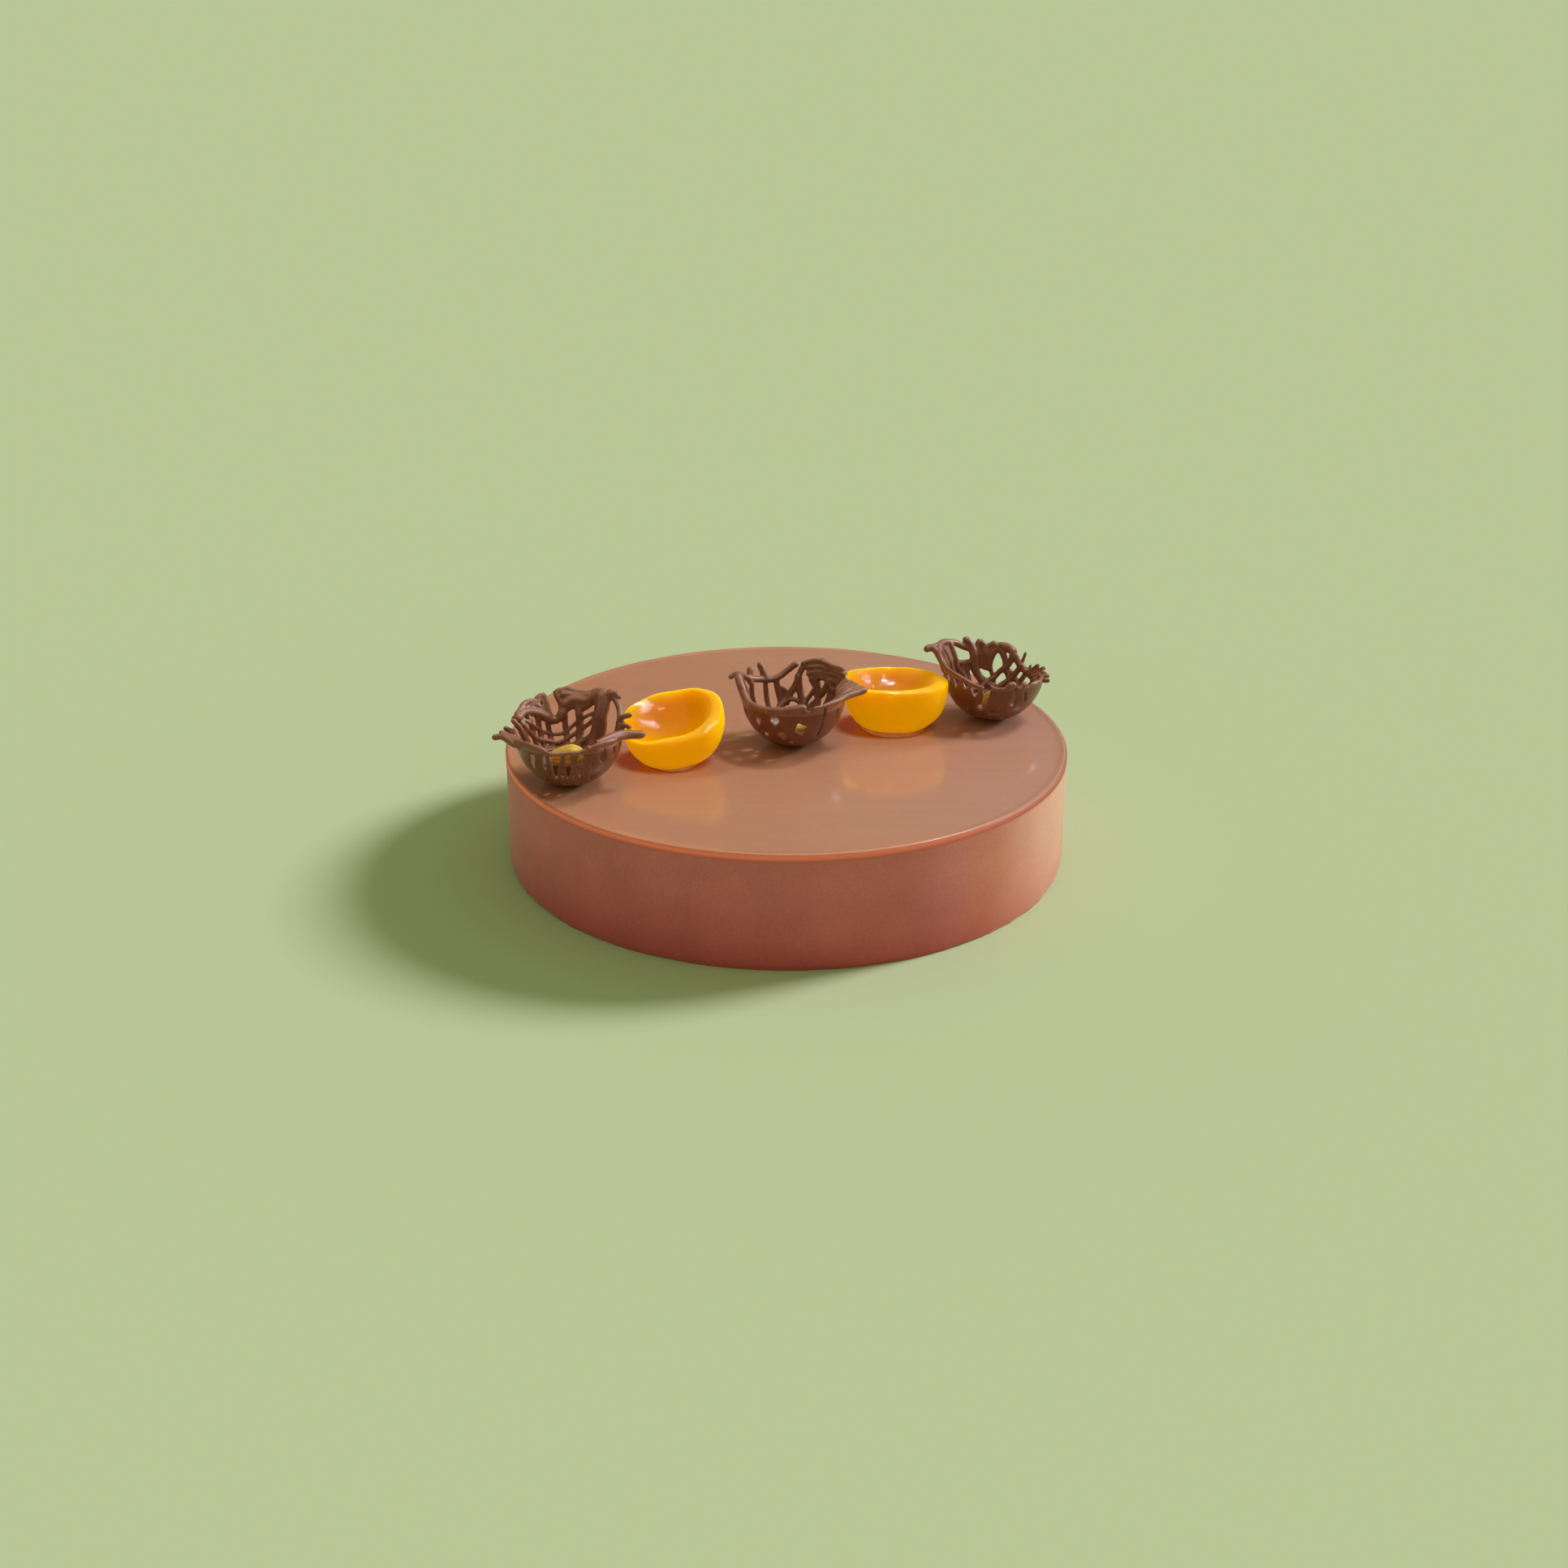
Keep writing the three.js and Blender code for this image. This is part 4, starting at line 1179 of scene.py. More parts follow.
class TORTE_OT_glaze(bpy.types.Operator):
    """Make the poured glaze with its round edge and its low rise along the rim"""

    bl_idname = "torte.glaze"
    bl_label = "Glaze"
    bl_options = {"REGISTER", "UNDO"}

    # The top inside the rounded edge: how far each ring is inset, and how far it drops
    TOP_RINGS = [(0.45, 0.04), (0.5, 0.1), (0.6, 0.14), (0.8, 0.12), (1.2, 0.07), (2.0, 0.03)]
    MIDDLE_RINGS = 5
    UNDERSIDE_RING = mm(1.5)
    RIM_WAVE = mm(0.14)  # how uneven the poured rim is

    def execute(self, context):
        radius = sizes().radius
        low = sizes().glaze_bottom
        high = sizes().rim_height
        clear_selection()
        bpy.ops.mesh.primitive_cylinder_add(
            vertices=sizes().segments, radius=radius, depth=high - low,
            location=(0, 0, (high + low) / 2),
        )
        glaze = name_piece("poured_glaze")
        bpy.ops.object.transform_apply(location=True, rotation=False, scale=False)
        edit(glaze)
        pick(
            glaze, "EDGE",
            lambda at, edge: all(abs(v.co.z - high) < CLOSE for v in edge.verts),
        )
        bpy.ops.mesh.bevel(offset=sizes().edge_radius, segments=6, profile=0.5, affect="EDGES")
        inner = radius - sizes().edge_radius
        pick(glaze, "FACE", lambda at, normal: at.xy.length < mm(1) and normal.z > 0.9)
        for inset, drop in self.TOP_RINGS:
            bpy.ops.mesh.inset(thickness=mm(inset))
            bpy.ops.transform.translate(value=(0, 0, -mm(drop)))
            inner -= mm(inset)
        for ring in range(self.MIDDLE_RINGS):
            bpy.ops.mesh.inset(thickness=inner / (self.MIDDLE_RINGS + 1))
        pick(glaze, "FACE", lambda at, normal: at.xy.length < mm(1) and normal.z < -0.9)
        bpy.ops.mesh.inset(thickness=self.UNDERSIDE_RING)
        clear_selection()

        def let_run(at):
            """Makes the poured rim slightly uneven, as it ran against the ring."""
            if at.xy.length < radius * 0.9 or at.z < low + CLOSE:
                return at
            round_about = Vector((at.x, at.y, 0.0))
            wave = soft_uneven(round_about, mm(25), 4) + 0.5 * soft_uneven(round_about, mm(7), 6)
            near_rim = min(1, max(0, (at.xy.length - radius * 0.94) / (radius * 0.05)))
            height = min(1, (at.z - low) / (high - low))
            return Vector((at.x, at.y, at.z + self.RIM_WAVE * (wave - 0.9) * near_rim * height))

        shape_vertices(glaze, let_run)
        select_only(glaze)
        bpy.ops.object.shade_smooth_by_angle(angle=math.radians(40))
        finish_piece(glaze, glaze_material(), "glaze", "glaze_layer")
        return {"FINISHED"}


# ---------------------------------------------------------------------------------------
# The chocolate baskets

def smooth_run(points, step):
    """A smooth line through points, as close-set points at about that step along it."""
    ends = [points[0], *points, points[-1]]
    run = []
    for a, b, c, d in zip(ends, ends[1:], ends[2:], ends[3:]):
        pieces = max(1, round((c - b).length / step))
        for i in range(pieces):
            t = i / pieces
            run.append(
                b + 0.5 * t * ((c - a) + t * ((2 * a - 5 * b + 4 * c - d) + t * (3 * (b - c) + d - a)))
            )
    run.append(points[-1])
    return run


def on_mould(basket, bearing, climb, inset):
    """A point of the basket from its bearing and climb in degrees, that far inside the mould."""
    around = math.radians(bearing)
    radius = MOULD_RADIUS - inset
    past = math.radians(climb - 90) * MOULD_RADIUS
    if past <= 0:
        out = radius * math.sin(math.radians(climb))
        up = -radius * math.cos(math.radians(climb))
    else:
        flare = math.radians(basket["flare"])
        out = radius + past * math.sin(flare)
        up = past * math.cos(flare)
    middle = basket["middle"]
    return Vector((
        middle.x + out * math.cos(around), middle.y + out * math.sin(around), MOULD_HEIGHT + up,
    ))


def inside_outline(outline, x, y):
    """Whether a point lies inside a closed outline."""
    inside = False
    for (x1, y1), (x2, y2) in zip(outline, outline[1:] + outline[:1]):
        if (y1 > y) != (y2 > y) and x < x1 + (y - y1) * (x2 - x1) / (y2 - y1):
            inside = not inside
    return inside


def near_bearing(outline, bearing):
    """The bearing, turned by a whole turn where that brings it near the outline."""
    middle = sum(point[0] for point in outline) / len(outline)
    return bearing - 360 * round((bearing - middle) / 360)


def rim_climb(basket, bearing):
    """How high the closed wall reaches at a bearing, or None past its two ends."""
    rim = basket["rim"]
    if bearing < rim[0][0]:
        bearing += 360
    for (b1, c1), (b2, c2) in zip(rim, rim[1:]):
        if b1 <= bearing <= b2:
            return c1 + (c2 - c1) * (bearing - b1) / (b2 - b1)
    return None


def opened_up(gap):
    """A gap's outline, wider all round by what the soft edges of the chocolate take back."""
    middle = sum((Vector(point) for point in gap), Vector((0, 0))) / len(gap)
    wider = []
    for point in gap:
        away = Vector(point) - middle
        wider.append(tuple(middle + away * (1 + GAP_MARGIN / away.length)))
    return wider


def has_chocolate(basket, gaps, bearing, climb):
    """Whether the closed parts of the basket cover a place on the mould."""
    for gap in gaps:
        if inside_outline(gap, near_bearing(gap, bearing), climb):
            return False
    ragged = 2.5 * math.sin(math.radians(7 * bearing)) + 1.5 * math.sin(math.radians(17 * bearing + 40))
    if climb < basket["floor"] + ragged:
        return True
    top = rim_climb(basket, bearing)
    if top is not None and climb < top + 0.8 * math.sin(math.radians(13 * bearing)):
        return True
    return any(
        inside_outline(patch, near_bearing(patch, bearing), climb) for patch in basket["patches"]
    )


class TORTE_OT_baskets(bpy.types.Operator):
    """Make the three piped chocolate baskets"""

    bl_idname = "torte.baskets"
    bl_label = "Chocolate baskets"
    bl_options = {"REGISTER", "UNDO"}

    HIGHEST_CLIMB = 120
    ROUND_TIPS = (1.0, 0.94, 0.78, 0.45)  # share of a strand's thickness over its tip
    STEP_DEGREES = 3.0  # steps along a strand that lies on the mould
    STEP_LENGTH = mm(1.0)  # steps along a strand that stands free
    SUNK_SHARE = 0.36  # how far a strand's middle lies inside the mould, per its thickness
    ARC_DEPTH = mm(0.9)  # how much deeper the arcs lie
    OVER_RIM = mm(2)  # what lies this far outside the mould was piped over its rim
    HOLD_FADE = mm(2)  # the hold of the mould fades over this height under its rim
    RIM_FADE = mm(0.8)
    SHINE_DEPTH = mm(0.3)  # what lies this close to the mould took on its shine

    def closed_wall(self, basket):
        """The closed parts of the wall, as a sheet laid on the mould and then thickened."""
        columns, rows = 360, self.HIGHEST_CLIMB
        clear_selection()
        bpy.ops.mesh.primitive_grid_add(x_subdivisions=columns, y_subdivisions=rows, size=1)
        wall = name_piece("wall_" + basket["side"])

        def degrees(at):
            return (at.x + 0.5) * 360, (at.y + 0.5) * self.HIGHEST_CLIMB

        gaps = [opened_up(gap) for gap in basket["gaps"]]
        edit(wall)
        pick(wall, "FACE", lambda at, normal: not has_chocolate(basket, gaps, *degrees(at)))
        bpy.ops.mesh.delete(type="FACE")
        clear_selection()
        shape_vertices(wall, lambda at: on_mould(basket, *degrees(at), 0.0))
        edit(wall)
        bpy.ops.mesh.select_all(action="SELECT")
        bpy.ops.mesh.remove_doubles(threshold=CLOSE)
        clear_selection()
        # The wall grows inwards, away from the mould
        face = wall.data.polygons[0]
        middle = Vector((*basket["middle"], MOULD_HEIGHT))
        outwards = face.normal.dot(face.center - middle) > 0
        add_modifier(
            wall, "SOLIDIFY", thickness=sizes().wall, offset=-1.0 if outwards else 1.0,
            use_quality_normals=True,
        )
        return wall

    def piped_strands(self, basket):
        """All the strands of a basket, as round bars along smooth lines."""
        curve = bpy.data.curves.new("strands_" + basket["side"], "CURVE")
        curve.dimensions = "3D"
        curve.bevel_depth = 1.0
        curve.bevel_resolution = 3
        curve.use_fill_caps = True
        runs = []
        for key, deeper in (("strands", 0.0), ("arcs", self.ARC_DEPTH)):
            for thickness, line in basket[key]:
                # The trail between two bearings takes the short way round
                flat = [Vector((b - 360 * round((b - line[0][0]) / 360), c, 0)) for b, c in line]
                inset = self.SUNK_SHARE * mm(thickness) + deeper
                steps = smooth_run(flat, self.STEP_DEGREES)
                runs.append((thickness, [on_mould(basket, at.x, at.y, inset) for at in steps]))
        middle = Vector((*basket["middle"], MOULD_HEIGHT))
        for thickness, line in basket["free"]:
            corners = [middle + mm(*point) for point in line]
            runs.append((thickness, smooth_run(corners, self.STEP_LENGTH)))
        for number, (thickness, line) in enumerate(runs):
            self.add_strand(curve, mm(thickness) / 2, line, number)
        strands = bpy.data.objects.new(curve.name, curve)
        bpy.context.scene.collection.objects.link(strands)
        select_only(strands)
        bpy.ops.object.convert(target="MESH")
        return bpy.context.active_object

    def add_strand(self, curve, radius, line, number):
        """One strand of slightly uneven thickness with round tips."""
        start = (line[0] - line[1]).normalized()
        end = (line[-1] - line[-2]).normalized()
        tips = len(self.ROUND_TIPS) - 1
        before = [line[0] + start * radius * i / tips for i in range(tips, 0, -1)]
        after = [line[-1] + end * radius * i / tips for i in range(1, tips + 1)]
        spline = curve.splines.new("POLY")
        places = [*before, *line, *after]
        spline.points.add(len(places) - 1)
        for i, place in enumerate(places):
            beyond = max(0, tips - i, i - (len(places) - 1 - tips))
            swell = 1 + 0.13 * soft_uneven(place, mm(5), number % 7)
            spline.points[i].co = (*place, 1.0)
            spline.points[i].radius = radius * self.ROUND_TIPS[beyond] * swell

    def press_on_mould(self, piece, basket):
        """Flattens the outside against the mould and the underside against the glaze."""
        middle = Vector((*basket["middle"], MOULD_HEIGHT))
        pressed = piece.data.attributes.new("moulded", "FLOAT", "POINT")
        touching = []
        for vertex in piece.data.vertices:
            away = vertex.co - middle
            excess = away.length - MOULD_RADIUS
            # What was piped over the mould's rim stands free
            hold = min(1.0, max(0.0, -away.z / self.HOLD_FADE))
            hold *= min(1.0, max(0.0, (self.OVER_RIM - excess) / self.RIM_FADE))
            if excess > 0:
                vertex.co -= away.normalized() * excess * hold
            vertex.co.z = max(vertex.co.z, SERVING_LEVEL)
            depth = abs(MOULD_RADIUS - (vertex.co - middle).length)
            touching.append(hold * max(0.0, 1 - depth / self.SHINE_DEPTH))
        pressed.data.foreach_set("value", touching)
        piece.data.update()

    def make(self, basket, material):
        wall = self.closed_wall(basket)
        strands = self.piped_strands(basket)
        select_only(wall, strands)
        bpy.ops.object.join()
        piece = name_piece("basket_" + basket["side"])
        add_modifier(piece, "REMESH", mode="VOXEL", voxel_size=sizes().detail, adaptivity=0.0)
        add_modifier(piece, "SMOOTH", factor=0.5, iterations=4)
        self.press_on_mould(piece, basket)
        select_only(piece)
        bpy.ops.object.shade_smooth()
        finish_piece(piece, material, "chocolate", "chocolate_basket_" + basket["side"])

    def execute(self, context):
        material = chocolate_material()
        for basket in BASKETS:
            self.make(basket, material)
        return {"FINISHED"}


# ---------------------------------------------------------------------------------------
# The apricot halves, their syrup and the pistachios

class TORTE_OT_apricots(bpy.types.Operator):
    """Make the two stoned apricot halves, cut face up"""

    bl_idname = "torte.apricots"
    bl_label = "Apricot halves"
    bl_options = {"REGISTER", "UNDO"}

    SEGMENTS = 72
    ROUND_ROWS = 40
    LIP_ROWS = 4
    PIT_ROWS = 9
    PIT_STEP = mm(0.05)  # the pit's edge lies this far below the lip
    PIT_SOFTNESS = 1.9  # over 2 the pit starts with a gentle slope
    FULLNESS = 0.62  # under 1 the flesh is fuller low down than half a ball
    EDGE_WAVE = mm(0.55)  # how uneven the height of the cut edge is
    LUMPS = mm(0.35)  # how lumpy the flesh is

    def cut_rings(self, half):
        """Radius and height of each ring, from the cut edge over the lip down into the pit."""
        radius = half["size"].x / 2
        lip = sizes().lip_radius
        pit_share, pit_depth = half["pit"]
        rings = []
        for row in range(1, self.LIP_ROWS + 1):
            turn = math.pi / 2 * row / self.LIP_ROWS
            rings.append((radius - lip * (1 - math.cos(turn)), lip * (math.sin(turn) - 1)))
        for row in range(self.PIT_ROWS):
            slope = math.pi / 2 * (1 - row / self.PIT_ROWS)
            rings.append((
                pit_share * radius * math.sin(slope),
                -self.PIT_STEP - pit_depth * math.cos(slope) ** self.PIT_SOFTNESS,
            ))
        return rings

    def sliced_ball(self, half):
        """A ball cut in half, with its cut face sunk ring by ring to the floor of the pit."""
        radius = half["size"].x / 2
        lip = sizes().lip_radius
        clear_selection()
        bpy.ops.mesh.primitive_uv_sphere_add(
            segments=self.SEGMENTS, ring_count=self.ROUND_ROWS, radius=radius,
        )
        piece = name_piece("apricot_" + half["side"])
        edit(piece)
        bpy.ops.mesh.select_all(action="SELECT")
        bpy.ops.mesh.bisect(
            plane_co=(0, 0, CLOSE), plane_no=(0, 0, 1), clear_outer=True, use_fill=True,
        )
        bpy.ops.mesh.select_all(action="SELECT")
        bpy.ops.transform.resize(
            value=(1, 1, (half["size"].z - lip) / radius), center_override=(0, 0, 0),
        )
        bpy.ops.transform.translate(value=(0, 0, -lip))
        pick(piece, "FACE", lambda at, normal: normal.z > 0.99 and at.xy.length < mm(1))
        last_reach, last_height = radius, -lip
        for reach, height in self.cut_rings(half):
            bpy.ops.mesh.inset(thickness=last_reach - reach)
            bpy.ops.transform.translate(value=(0, 0, height - last_height))
            last_reach, last_height = reach, height
        bpy.ops.mesh.poke()
        clear_selection()
        return piece

    def shape(self, piece, half):
        """Gives the sliced ball the outline, the lip and the tilt of this half."""
        width, depth, height = half["size"]
        radius = width / 2
        lip = sizes().lip_radius
        power = half["squareness"]
        shift = half["stone_shift"]
        tip_over = (
            Matrix.Rotation(math.radians(half["pitch"]), 4, "X")
            @ Matrix.Rotation(-math.radians(half["roll"]), 4, "Y")
        )

        def on_round_side(at):
            share = min(1.0, at.xy.length / radius)
            ball = -lip - (height - lip) * math.sqrt(1 - share ** 2)
            return at.z < -lip * 0.99 and abs(at.z - ball) < mm(0.8)

        def pale(at):
            """How pale the flesh is: along the cut edge, and broadly at the stem's end."""
            if on_round_side(at):
                return 0.0
            share = at.xy.length / radius
            edge = max(0.0, 1 - abs(share - 0.95) / 0.06)
            stem = max(0.0, math.cos(math.atan2(at.y, at.x) + 0.15)) ** 7
            broad = max(0.0, 1 - abs(share - 0.8) / 0.16) * stem
            return min(1.0, 0.2 * edge + 0.2 * broad)

        def in_pit(at):
            """How far a place lies inside the pit, where syrup stands in drops."""
            if on_round_side(at):
                return 0.0
            return min(1.0, max(0.0, (0.9 - at.xy.length / radius) / 0.2))

        for name, measure in (("cut_edge", pale), ("pit", in_pit)):
            values = piece.data.attributes.new(name, "FLOAT", "POINT")
            values.data.foreach_set("value", [measure(vertex.co) for vertex in piece.data.vertices])

        def to_fruit(at):
            share = min(1.0, at.xy.length / radius)
            bearing = math.atan2(at.y, at.x)
            squarish = abs(math.cos(bearing)) ** power + abs(math.sin(bearing)) ** power
            wider = squarish ** (-1 / power)
            if on_round_side(at):
                wider *= max(share, 0.01) ** (self.FULLNESS - 1)
            place = Vector((at.x * wider, at.y * wider * depth / width, at.z))
            if not on_round_side(at):
                inner = min(1.0, max(0.0, (1 - share) / 0.12))
                place += inner * Vector((shift.x, shift.y, 0))
            high = max(0.0, 1 + at.z / (height * 0.4))
            round_about = Vector((at.x, at.y, 0))
            place.z += high * self.EDGE_WAVE * (soft_uneven(round_about, mm(13), half["seed"]) - 0.25)
            return tip_over @ place

        shape_vertices(piece, to_fruit)
        add_modifier(piece, "SUBSURF", levels=2, render_levels=2)
        lowest = min(vertex.co.z for vertex in piece.data.vertices)
        middle = half["middle"]
        down = Vector((middle.x, middle.y, SERVING_LEVEL - APRICOT_SINK - lowest))
        normals = [vertex.normal.copy() for vertex in piece.data.vertices]
        for vertex, normal in zip(piece.data.vertices, normals):
            lumps = soft_uneven(vertex.co, mm(9), half["seed"] + 1)
            lumps += 0.35 * soft_uneven(vertex.co, mm(3.5), half["seed"] + 2)
            vertex.co += normal * self.LUMPS * (lumps - 0.5) + down
        piece.data.update()
        edit(piece)
        bpy.ops.mesh.select_all(action="SELECT")
        bpy.ops.mesh.bisect(
            plane_co=(0, 0, SERVING_LEVEL), plane_no=(0, 0, 1), clear_inner=True, use_fill=True,
        )
        clear_selection()

    def execute(self, context):
        material = apricot_material()
        for half in APRICOTS:
            piece = self.sliced_ball(half)
            self.shape(piece, half)
            select_only(piece)
            bpy.ops.object.shade_smooth_by_angle(angle=math.radians(60))
            finish_piece(piece, material, "apricot", "apricot_half_" + half["side"])
        return {"FINISHED"}


class TORTE_OT_syrup(bpy.types.Operator):
    """Make the thin pools of syrup that ran out from under the apricot halves"""

    bl_idname = "torte.syrup"
    bl_label = "Syrup"
    bl_options = {"REGISTER", "UNDO"}

    THICKNESS = mm(0.4)
    SUNK = mm(0.2)  # how far the pool reaches into the glaze, so that no gap shows
    EDGE_ROUNDING = mm(0.38)
    SHIFT = mm(-0.5, -0.5, 0)  # from the middle of the fruit

    def execute(self, context):
        material = syrup_material()
        for half in APRICOTS:
            middle = half["middle"]
            centre = Vector((middle.x, middle.y, SERVING_LEVEL - self.SUNK)) + self.SHIFT
            clear_selection()
            bpy.ops.mesh.primitive_circle_add(
                vertices=96, radius=half["size"].x * half["pool"], fill_type="NGON", location=centre,
            )
            pool = name_piece("syrup_" + half["side"])
            bpy.ops.object.transform_apply(location=True, rotation=False, scale=False)
            edit(pool)
            bpy.ops.mesh.select_all(action="SELECT")
            bpy.ops.mesh.extrude_region_move(
                TRANSFORM_OT_translate={"value": (0, 0, self.THICKNESS + self.SUNK)},
            )
            top = SERVING_LEVEL + self.THICKNESS
            pick(
                pool, "EDGE",
                lambda at, edge: all(abs(v.co.z - top) < CLOSE for v in edge.verts),
            )
            bpy.ops.mesh.bevel(
                offset=self.EDGE_ROUNDING, segments=5, profile=0.5, affect="EDGES",
            )
            bpy.ops.mesh.select_all(action="SELECT")
            bpy.ops.mesh.normals_make_consistent(inside=False)
            clear_selection()

            def run_out(at):
                """Lets the edge of the pool creep out unevenly."""
                away = (at - centre).xy
                around = Vector((away.x, away.y, 0)).normalized() * mm(10)
                creep = 0.14 * soft_uneven(around, mm(9), half["seed"])
                creep += 0.07 * soft_uneven(around, mm(3), half["seed"] + 4)
                return Vector((at.x + away.x * creep, at.y + away.y * creep, at.z))

            shape_vertices(pool, run_out)
            select_only(pool)
            bpy.ops.object.shade_smooth_by_angle(angle=math.radians(50))
            finish_piece(pool, material, "apricot", None)
        return {"FINISHED"}


class TORTE_OT_pistachios(bpy.types.Operator):
    """Make the shelled pistachio in each basket"""

    bl_idname = "torte.pistachios"
    bl_label = "Pistachios"
    bl_options = {"REGISTER", "UNDO"}

    TAPER = 0.4  # how much thinner the pointed end gets over the kernel's length
    SEAM_DEPTH = mm(0.45)
    SEAM_WIDTH = 0.16  # radians round the kernel
    WRINKLES = mm(0.22)

    def kernel_shape(self, at):
        """Turns a ball with its poles on X into a tapered kernel with a seam and wrinkles."""
        length, width, height = sizes().kernel
        thin = 1 - self.TAPER * at.x
        place = Vector((at.x * length, at.y * width * thin, at.z * height * thin))
        around = math.atan2(at.z, at.y)
        seam = math.exp(-(around / self.SEAM_WIDTH) ** 2)
        seam += math.exp(-((abs(around) - math.pi) / self.SEAM_WIDTH) ** 2)
        along = Vector((place.x * 0.35, place.y, place.z))
        wrinkle = soft_uneven(along, mm(1.8), 3)
        outwards = Vector((0, at.y, at.z))
        return place + outwards * 2 * (self.WRINKLES * wrinkle - self.SEAM_DEPTH * min(1, seam))

    def execute(self, context):
        material = pistachio_material()
        for kernel in KERNELS:
            clear_selection()
            bpy.ops.mesh.primitive_uv_sphere_add(
                segments=64, ring_count=40, radius=0.5, rotation=(0, math.pi / 2, 0),
            )
            piece = name_piece("kernel_" + kernel["side"])
            bpy.ops.object.transform_apply(location=False, rotation=True, scale=False)
            shape_vertices(piece, self.kernel_shape)
            lie = (
                Matrix.Rotation(math.radians(kernel["turn"]), 4, "Z")
                @ Matrix.Rotation(-math.radians(kernel["tip"]), 4, "Y")
            )
            middle = Vector((*kernel["basket"]["middle"], MOULD_HEIGHT)) + kernel["offset"]
            shape_vertices(piece, lambda at: middle + lie @ at)
            select_only(piece)
            bpy.ops.object.shade_smooth()
            finish_piece(piece, material, "pistachio", "pistachio_" + kernel["side"])
        return {"FINISHED"}


# ---------------------------------------------------------------------------------------
# The stage

class TORTE_OT_stage(bpy.types.Operator):
    """Make the floor, the light and the camera"""

    bl_idname = "torte.stage"
    bl_label = "Stage"
    bl_options = {"REGISTER", "UNDO"}

    FLOOR_SIZE = 20.0  # metres, so that it reaches past the top of the frame
    # Each lamp: its name, what it lights, the direction towards it, how many degrees it spans,
    # which sets how soft its shadows are, its share of the light on level ground, and its
    # colour. The floor's lamp stands lower than the key light, so its shadow is long.
    LAMPS = (
        ("key_light", TORTE_LAMPS, (0.47, 0.27, 0.84), 12.0, 0.33, (0.9, 0.99, 1.09)),
        ("glint_light", TORTE_LAMPS, (0.44, 0.3, 0.84), 2.5, 0.05, (0.99, 0.9, 1.0)),
        ("side_light", TORTE_LAMPS, (0.86, 0.36, 0.36), 12.0, 0.25, (0.94, 1.06, 1.12)),
        ("floor_light", FLOOR_LAMPS, (0.763, 0.381, 0.522), 15.0, 0.63, (1.055, 0.80, 1.08)),
    )
    FILL_COLOUR = (0.42, 0.37, 0.27)
    # What shiny surfaces mirror, as shares of the fill: a dim room low down, and overhead a
    # wide soft box. It starts and is full at these sines of the angle above the floor.
    SOFT_BOX_FROM, SOFT_BOX_FULL = 0.5, 0.85
    ROOM_SHARE, SOFT_BOX_SHARE = 0.3, 5.0
    # Narrow lights that only show in the gloss of the wet fruit: each one's name, its place
    # and size in metres, and its watts
    STRIPS = (
        ("lip_glint", (0.26, -0.38, 1.0), (1.2, 0.03), 40.0),
        ("pit_glint", (0.1, 0.14, 1.1), (0.05, 0.12), 14.0),
    )
    CAMERA_PLACE = mm(0, -877.468, 398.698)
    CAMERA_RIGHT = Vector((0.99998972, 0.0026221, 0.00369868))
    CAMERA_UP = Vector((-0.00442695, 0.38861334, 0.9213903))
    LENS = 50.41  # mm, on a sensor of 36 mm
    SENSOR = 36.0

    def execute(self, context):
        clear_selection()
        bpy.ops.mesh.primitive_plane_add(size=self.FLOOR_SIZE, location=(0, 0, 0))
        floor = name_piece("floor")
        floor.data.materials.append(floor_material())
        light_group(FLOOR_LAMPS).objects.link(floor)

        for name, lit, direction, spread, share, colour in self.LAMPS:
            towards = Vector(direction).normalized()
            bpy.ops.object.light_add(type="SUN", location=(0, 0, 1))
            lamp = bpy.context.active_object
            lamp.name = name
            lamp.data.angle = math.radians(spread)
            lamp.data.energy = share * math.pi / towards.z
            lamp.data.color = colour
            lamp.rotation_euler = towards.to_track_quat("Z", "Y").to_euler()
            lamp.light_linking.receiver_collection = light_group(lit)
            lamp.light_linking.blocker_collection = light_group(
                FLOOR_SHADOW if lit == FLOOR_LAMPS else TORTE_SHADOW
            )

        for name, place, size, watts in self.STRIPS:
            bpy.ops.object.light_add(type="AREA", location=place)
            strip = bpy.context.active_object
            strip.name = name
            strip.data.shape = "RECTANGLE"
            strip.data.size, strip.data.size_y = size
            strip.data.energy = watts
            strip.rotation_euler = Vector(place).to_track_quat("Z", "Y").to_euler()
            strip.visible_diffuse = False
            strip.light_linking.receiver_collection = light_group(GLINT_LAMPS)

        self.light_world()
        bpy.context.scene.view_settings.view_transform = "Standard"

        bpy.ops.object.camera_add(location=self.CAMERA_PLACE)
        camera = bpy.context.active_object
        camera.name = "camera"
        back = self.CAMERA_RIGHT.cross(self.CAMERA_UP)
        turn = Matrix((self.CAMERA_RIGHT, self.CAMERA_UP, back)).transposed()
        camera.matrix_world = Matrix.Translation(self.CAMERA_PLACE) @ turn.to_4x4()
        camera.data.sensor_fit = "HORIZONTAL"
        camera.data.sensor_width = self.SENSOR
        camera.data.lens = self.LENS
        camera.data.clip_start = mm(50)
        camera.data.clip_end = 2 * self.FLOOR_SIZE
        bpy.context.scene.camera = camera
        return {"FINISHED"}

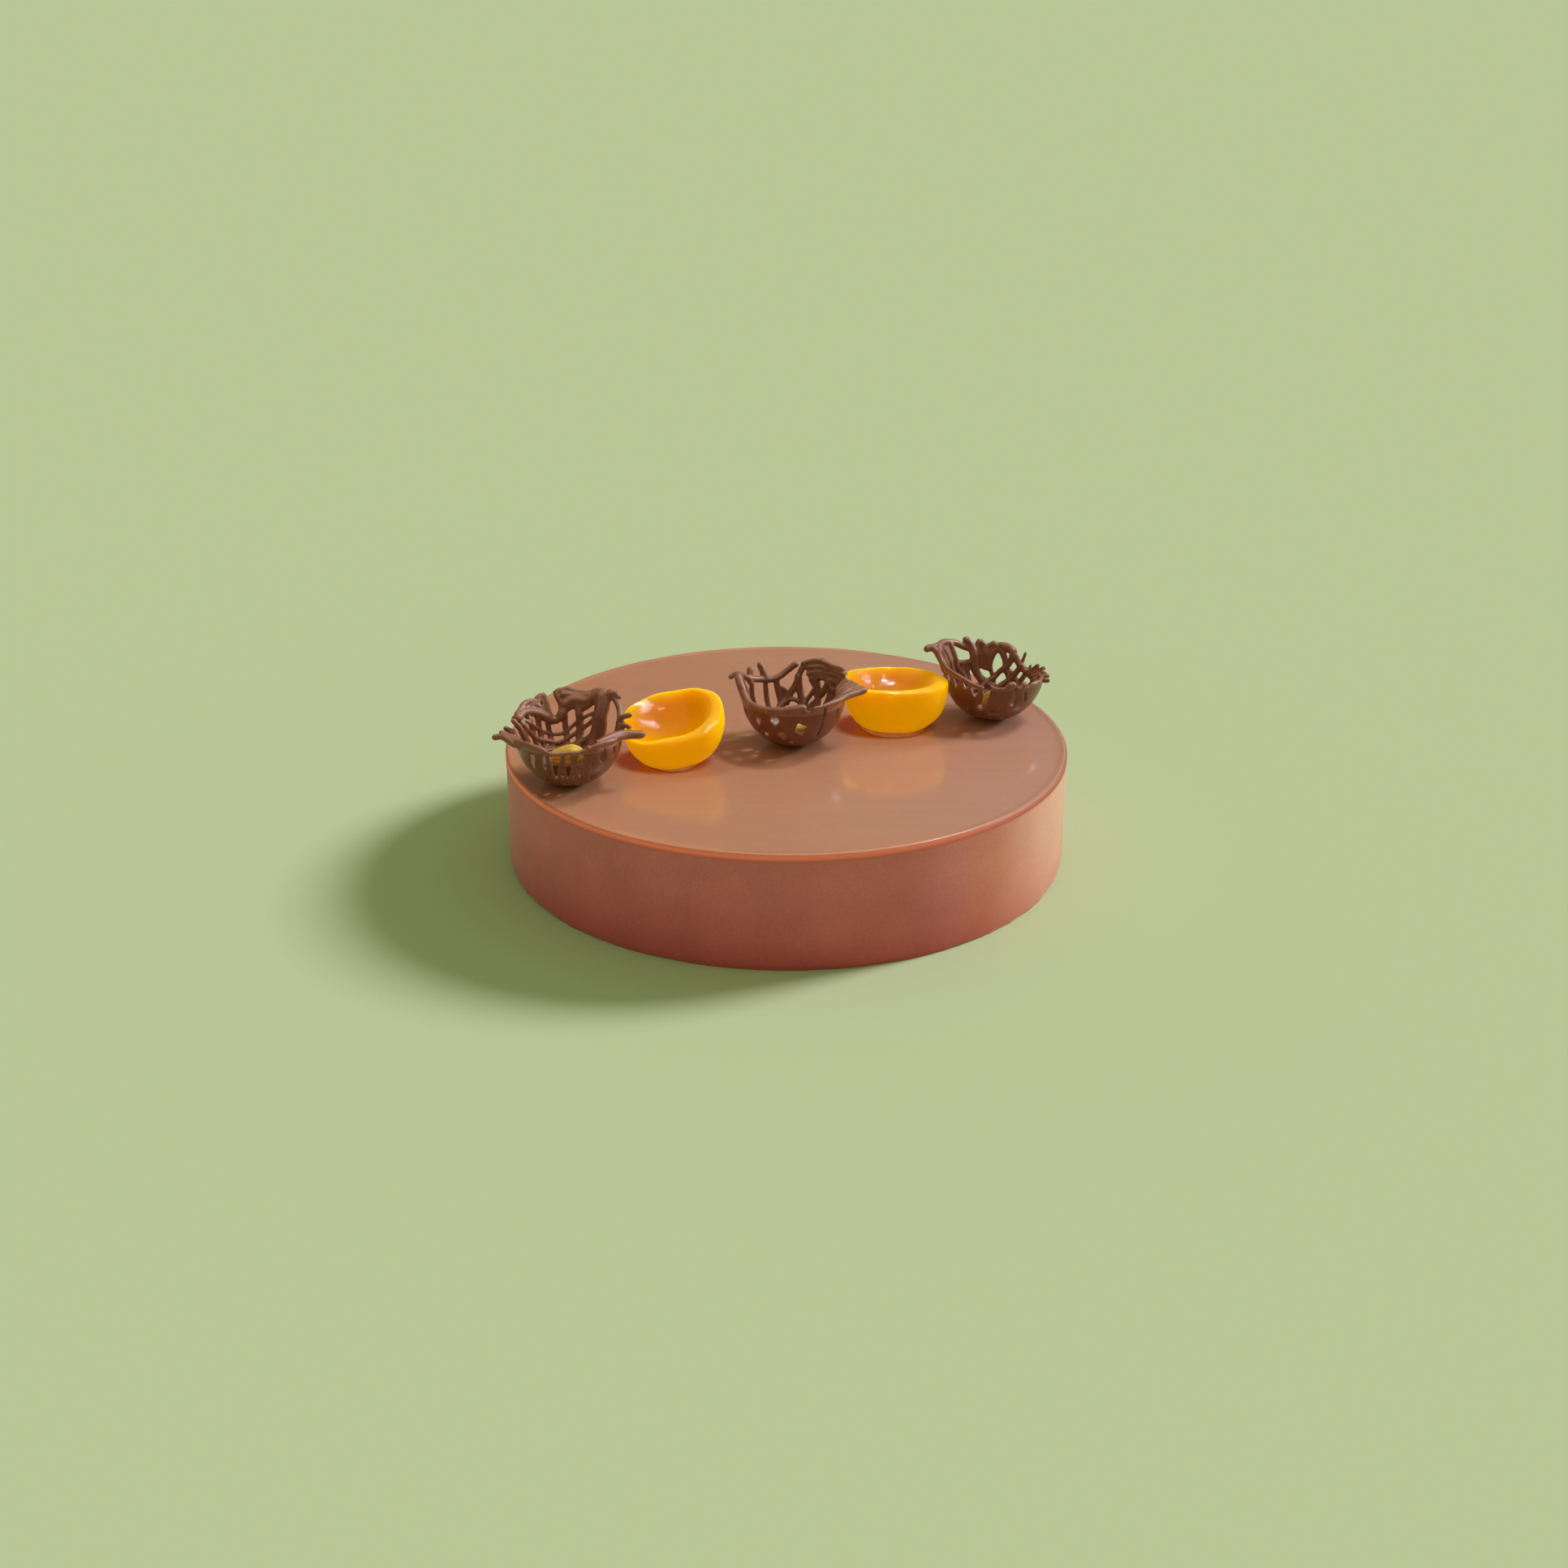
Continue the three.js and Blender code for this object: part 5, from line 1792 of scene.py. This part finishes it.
    def light_world(self):
        """The even fill light, with the overhead soft box in what shiny surfaces mirror."""
        world = bpy.data.worlds.new("studio")
        world.use_nodes = True
        tree = world.node_tree
        background = tree.nodes["Background"]
        background.inputs["Color"].default_value = (*self.FILL_COLOUR, 1)
        place = add_node(tree, "ShaderNodeTexCoord")
        parts = add_node(tree, "ShaderNodeSeparateXYZ", {"Vector": place.outputs["Generated"]})
        box = add_node(
            tree, "ShaderNodeMapRange", {"Value": parts.outputs["Z"]},
            {
                "From Min": self.SOFT_BOX_FROM, "From Max": self.SOFT_BOX_FULL,
                "To Min": self.ROOM_SHARE, "To Max": self.SOFT_BOX_SHARE,
            },
            interpolation_type="SMOOTHSTEP",
        )
        rays = add_node(tree, "ShaderNodeLightPath")
        strength = add_node(
            tree, "ShaderNodeMix", {"Factor": rays.outputs["Is Glossy Ray"], "B": box.outputs["Result"]},
            {"A": 1.0},
        )
        tree.links.new(strength.outputs["Result"], background.inputs["Strength"])
        bpy.context.scene.world = world


class TORTE_PT_panel(bpy.types.Panel):
    """The torte's sizes, colours and pieces"""

    bl_idname = "TORTE_PT_panel"
    bl_label = "Apricot torte"
    bl_space_type = "VIEW_3D"
    bl_region_type = "UI"
    bl_category = "Torte"

    def draw(self, context):
        for group in (context.scene.torte_sizes, context.scene.torte_colours):
            column = self.layout.column()
            for name in group.__annotations__:
                column.prop(group, name)
        for operator in OPERATORS:
            self.layout.operator(operator.bl_idname)


OPERATORS = (
    TORTE_OT_stage,
    TORTE_OT_mousse,
    TORTE_OT_glaze,
    TORTE_OT_syrup,
    TORTE_OT_apricots,
    TORTE_OT_pistachios,
    TORTE_OT_baskets,
)
CLASSES = (TorteSizes, TorteColours, *OPERATORS, TORTE_PT_panel)


def register():
    for part in CLASSES:
        bpy.utils.register_class(part)
    bpy.types.Scene.torte_sizes = PointerProperty(type=TorteSizes)
    bpy.types.Scene.torte_colours = PointerProperty(type=TorteColours)


def unregister():
    del bpy.types.Scene.torte_colours
    del bpy.types.Scene.torte_sizes
    for part in reversed(CLASSES):
        bpy.utils.unregister_class(part)


def main():
    register()
    bpy.ops.torte.stage()
    bpy.ops.torte.mousse()
    bpy.ops.torte.glaze()
    bpy.ops.torte.syrup()
    bpy.ops.torte.apricots()
    bpy.ops.torte.pistachios()
    bpy.ops.torte.baskets()
    clear_selection()


if __name__ == "__main__":
    main()
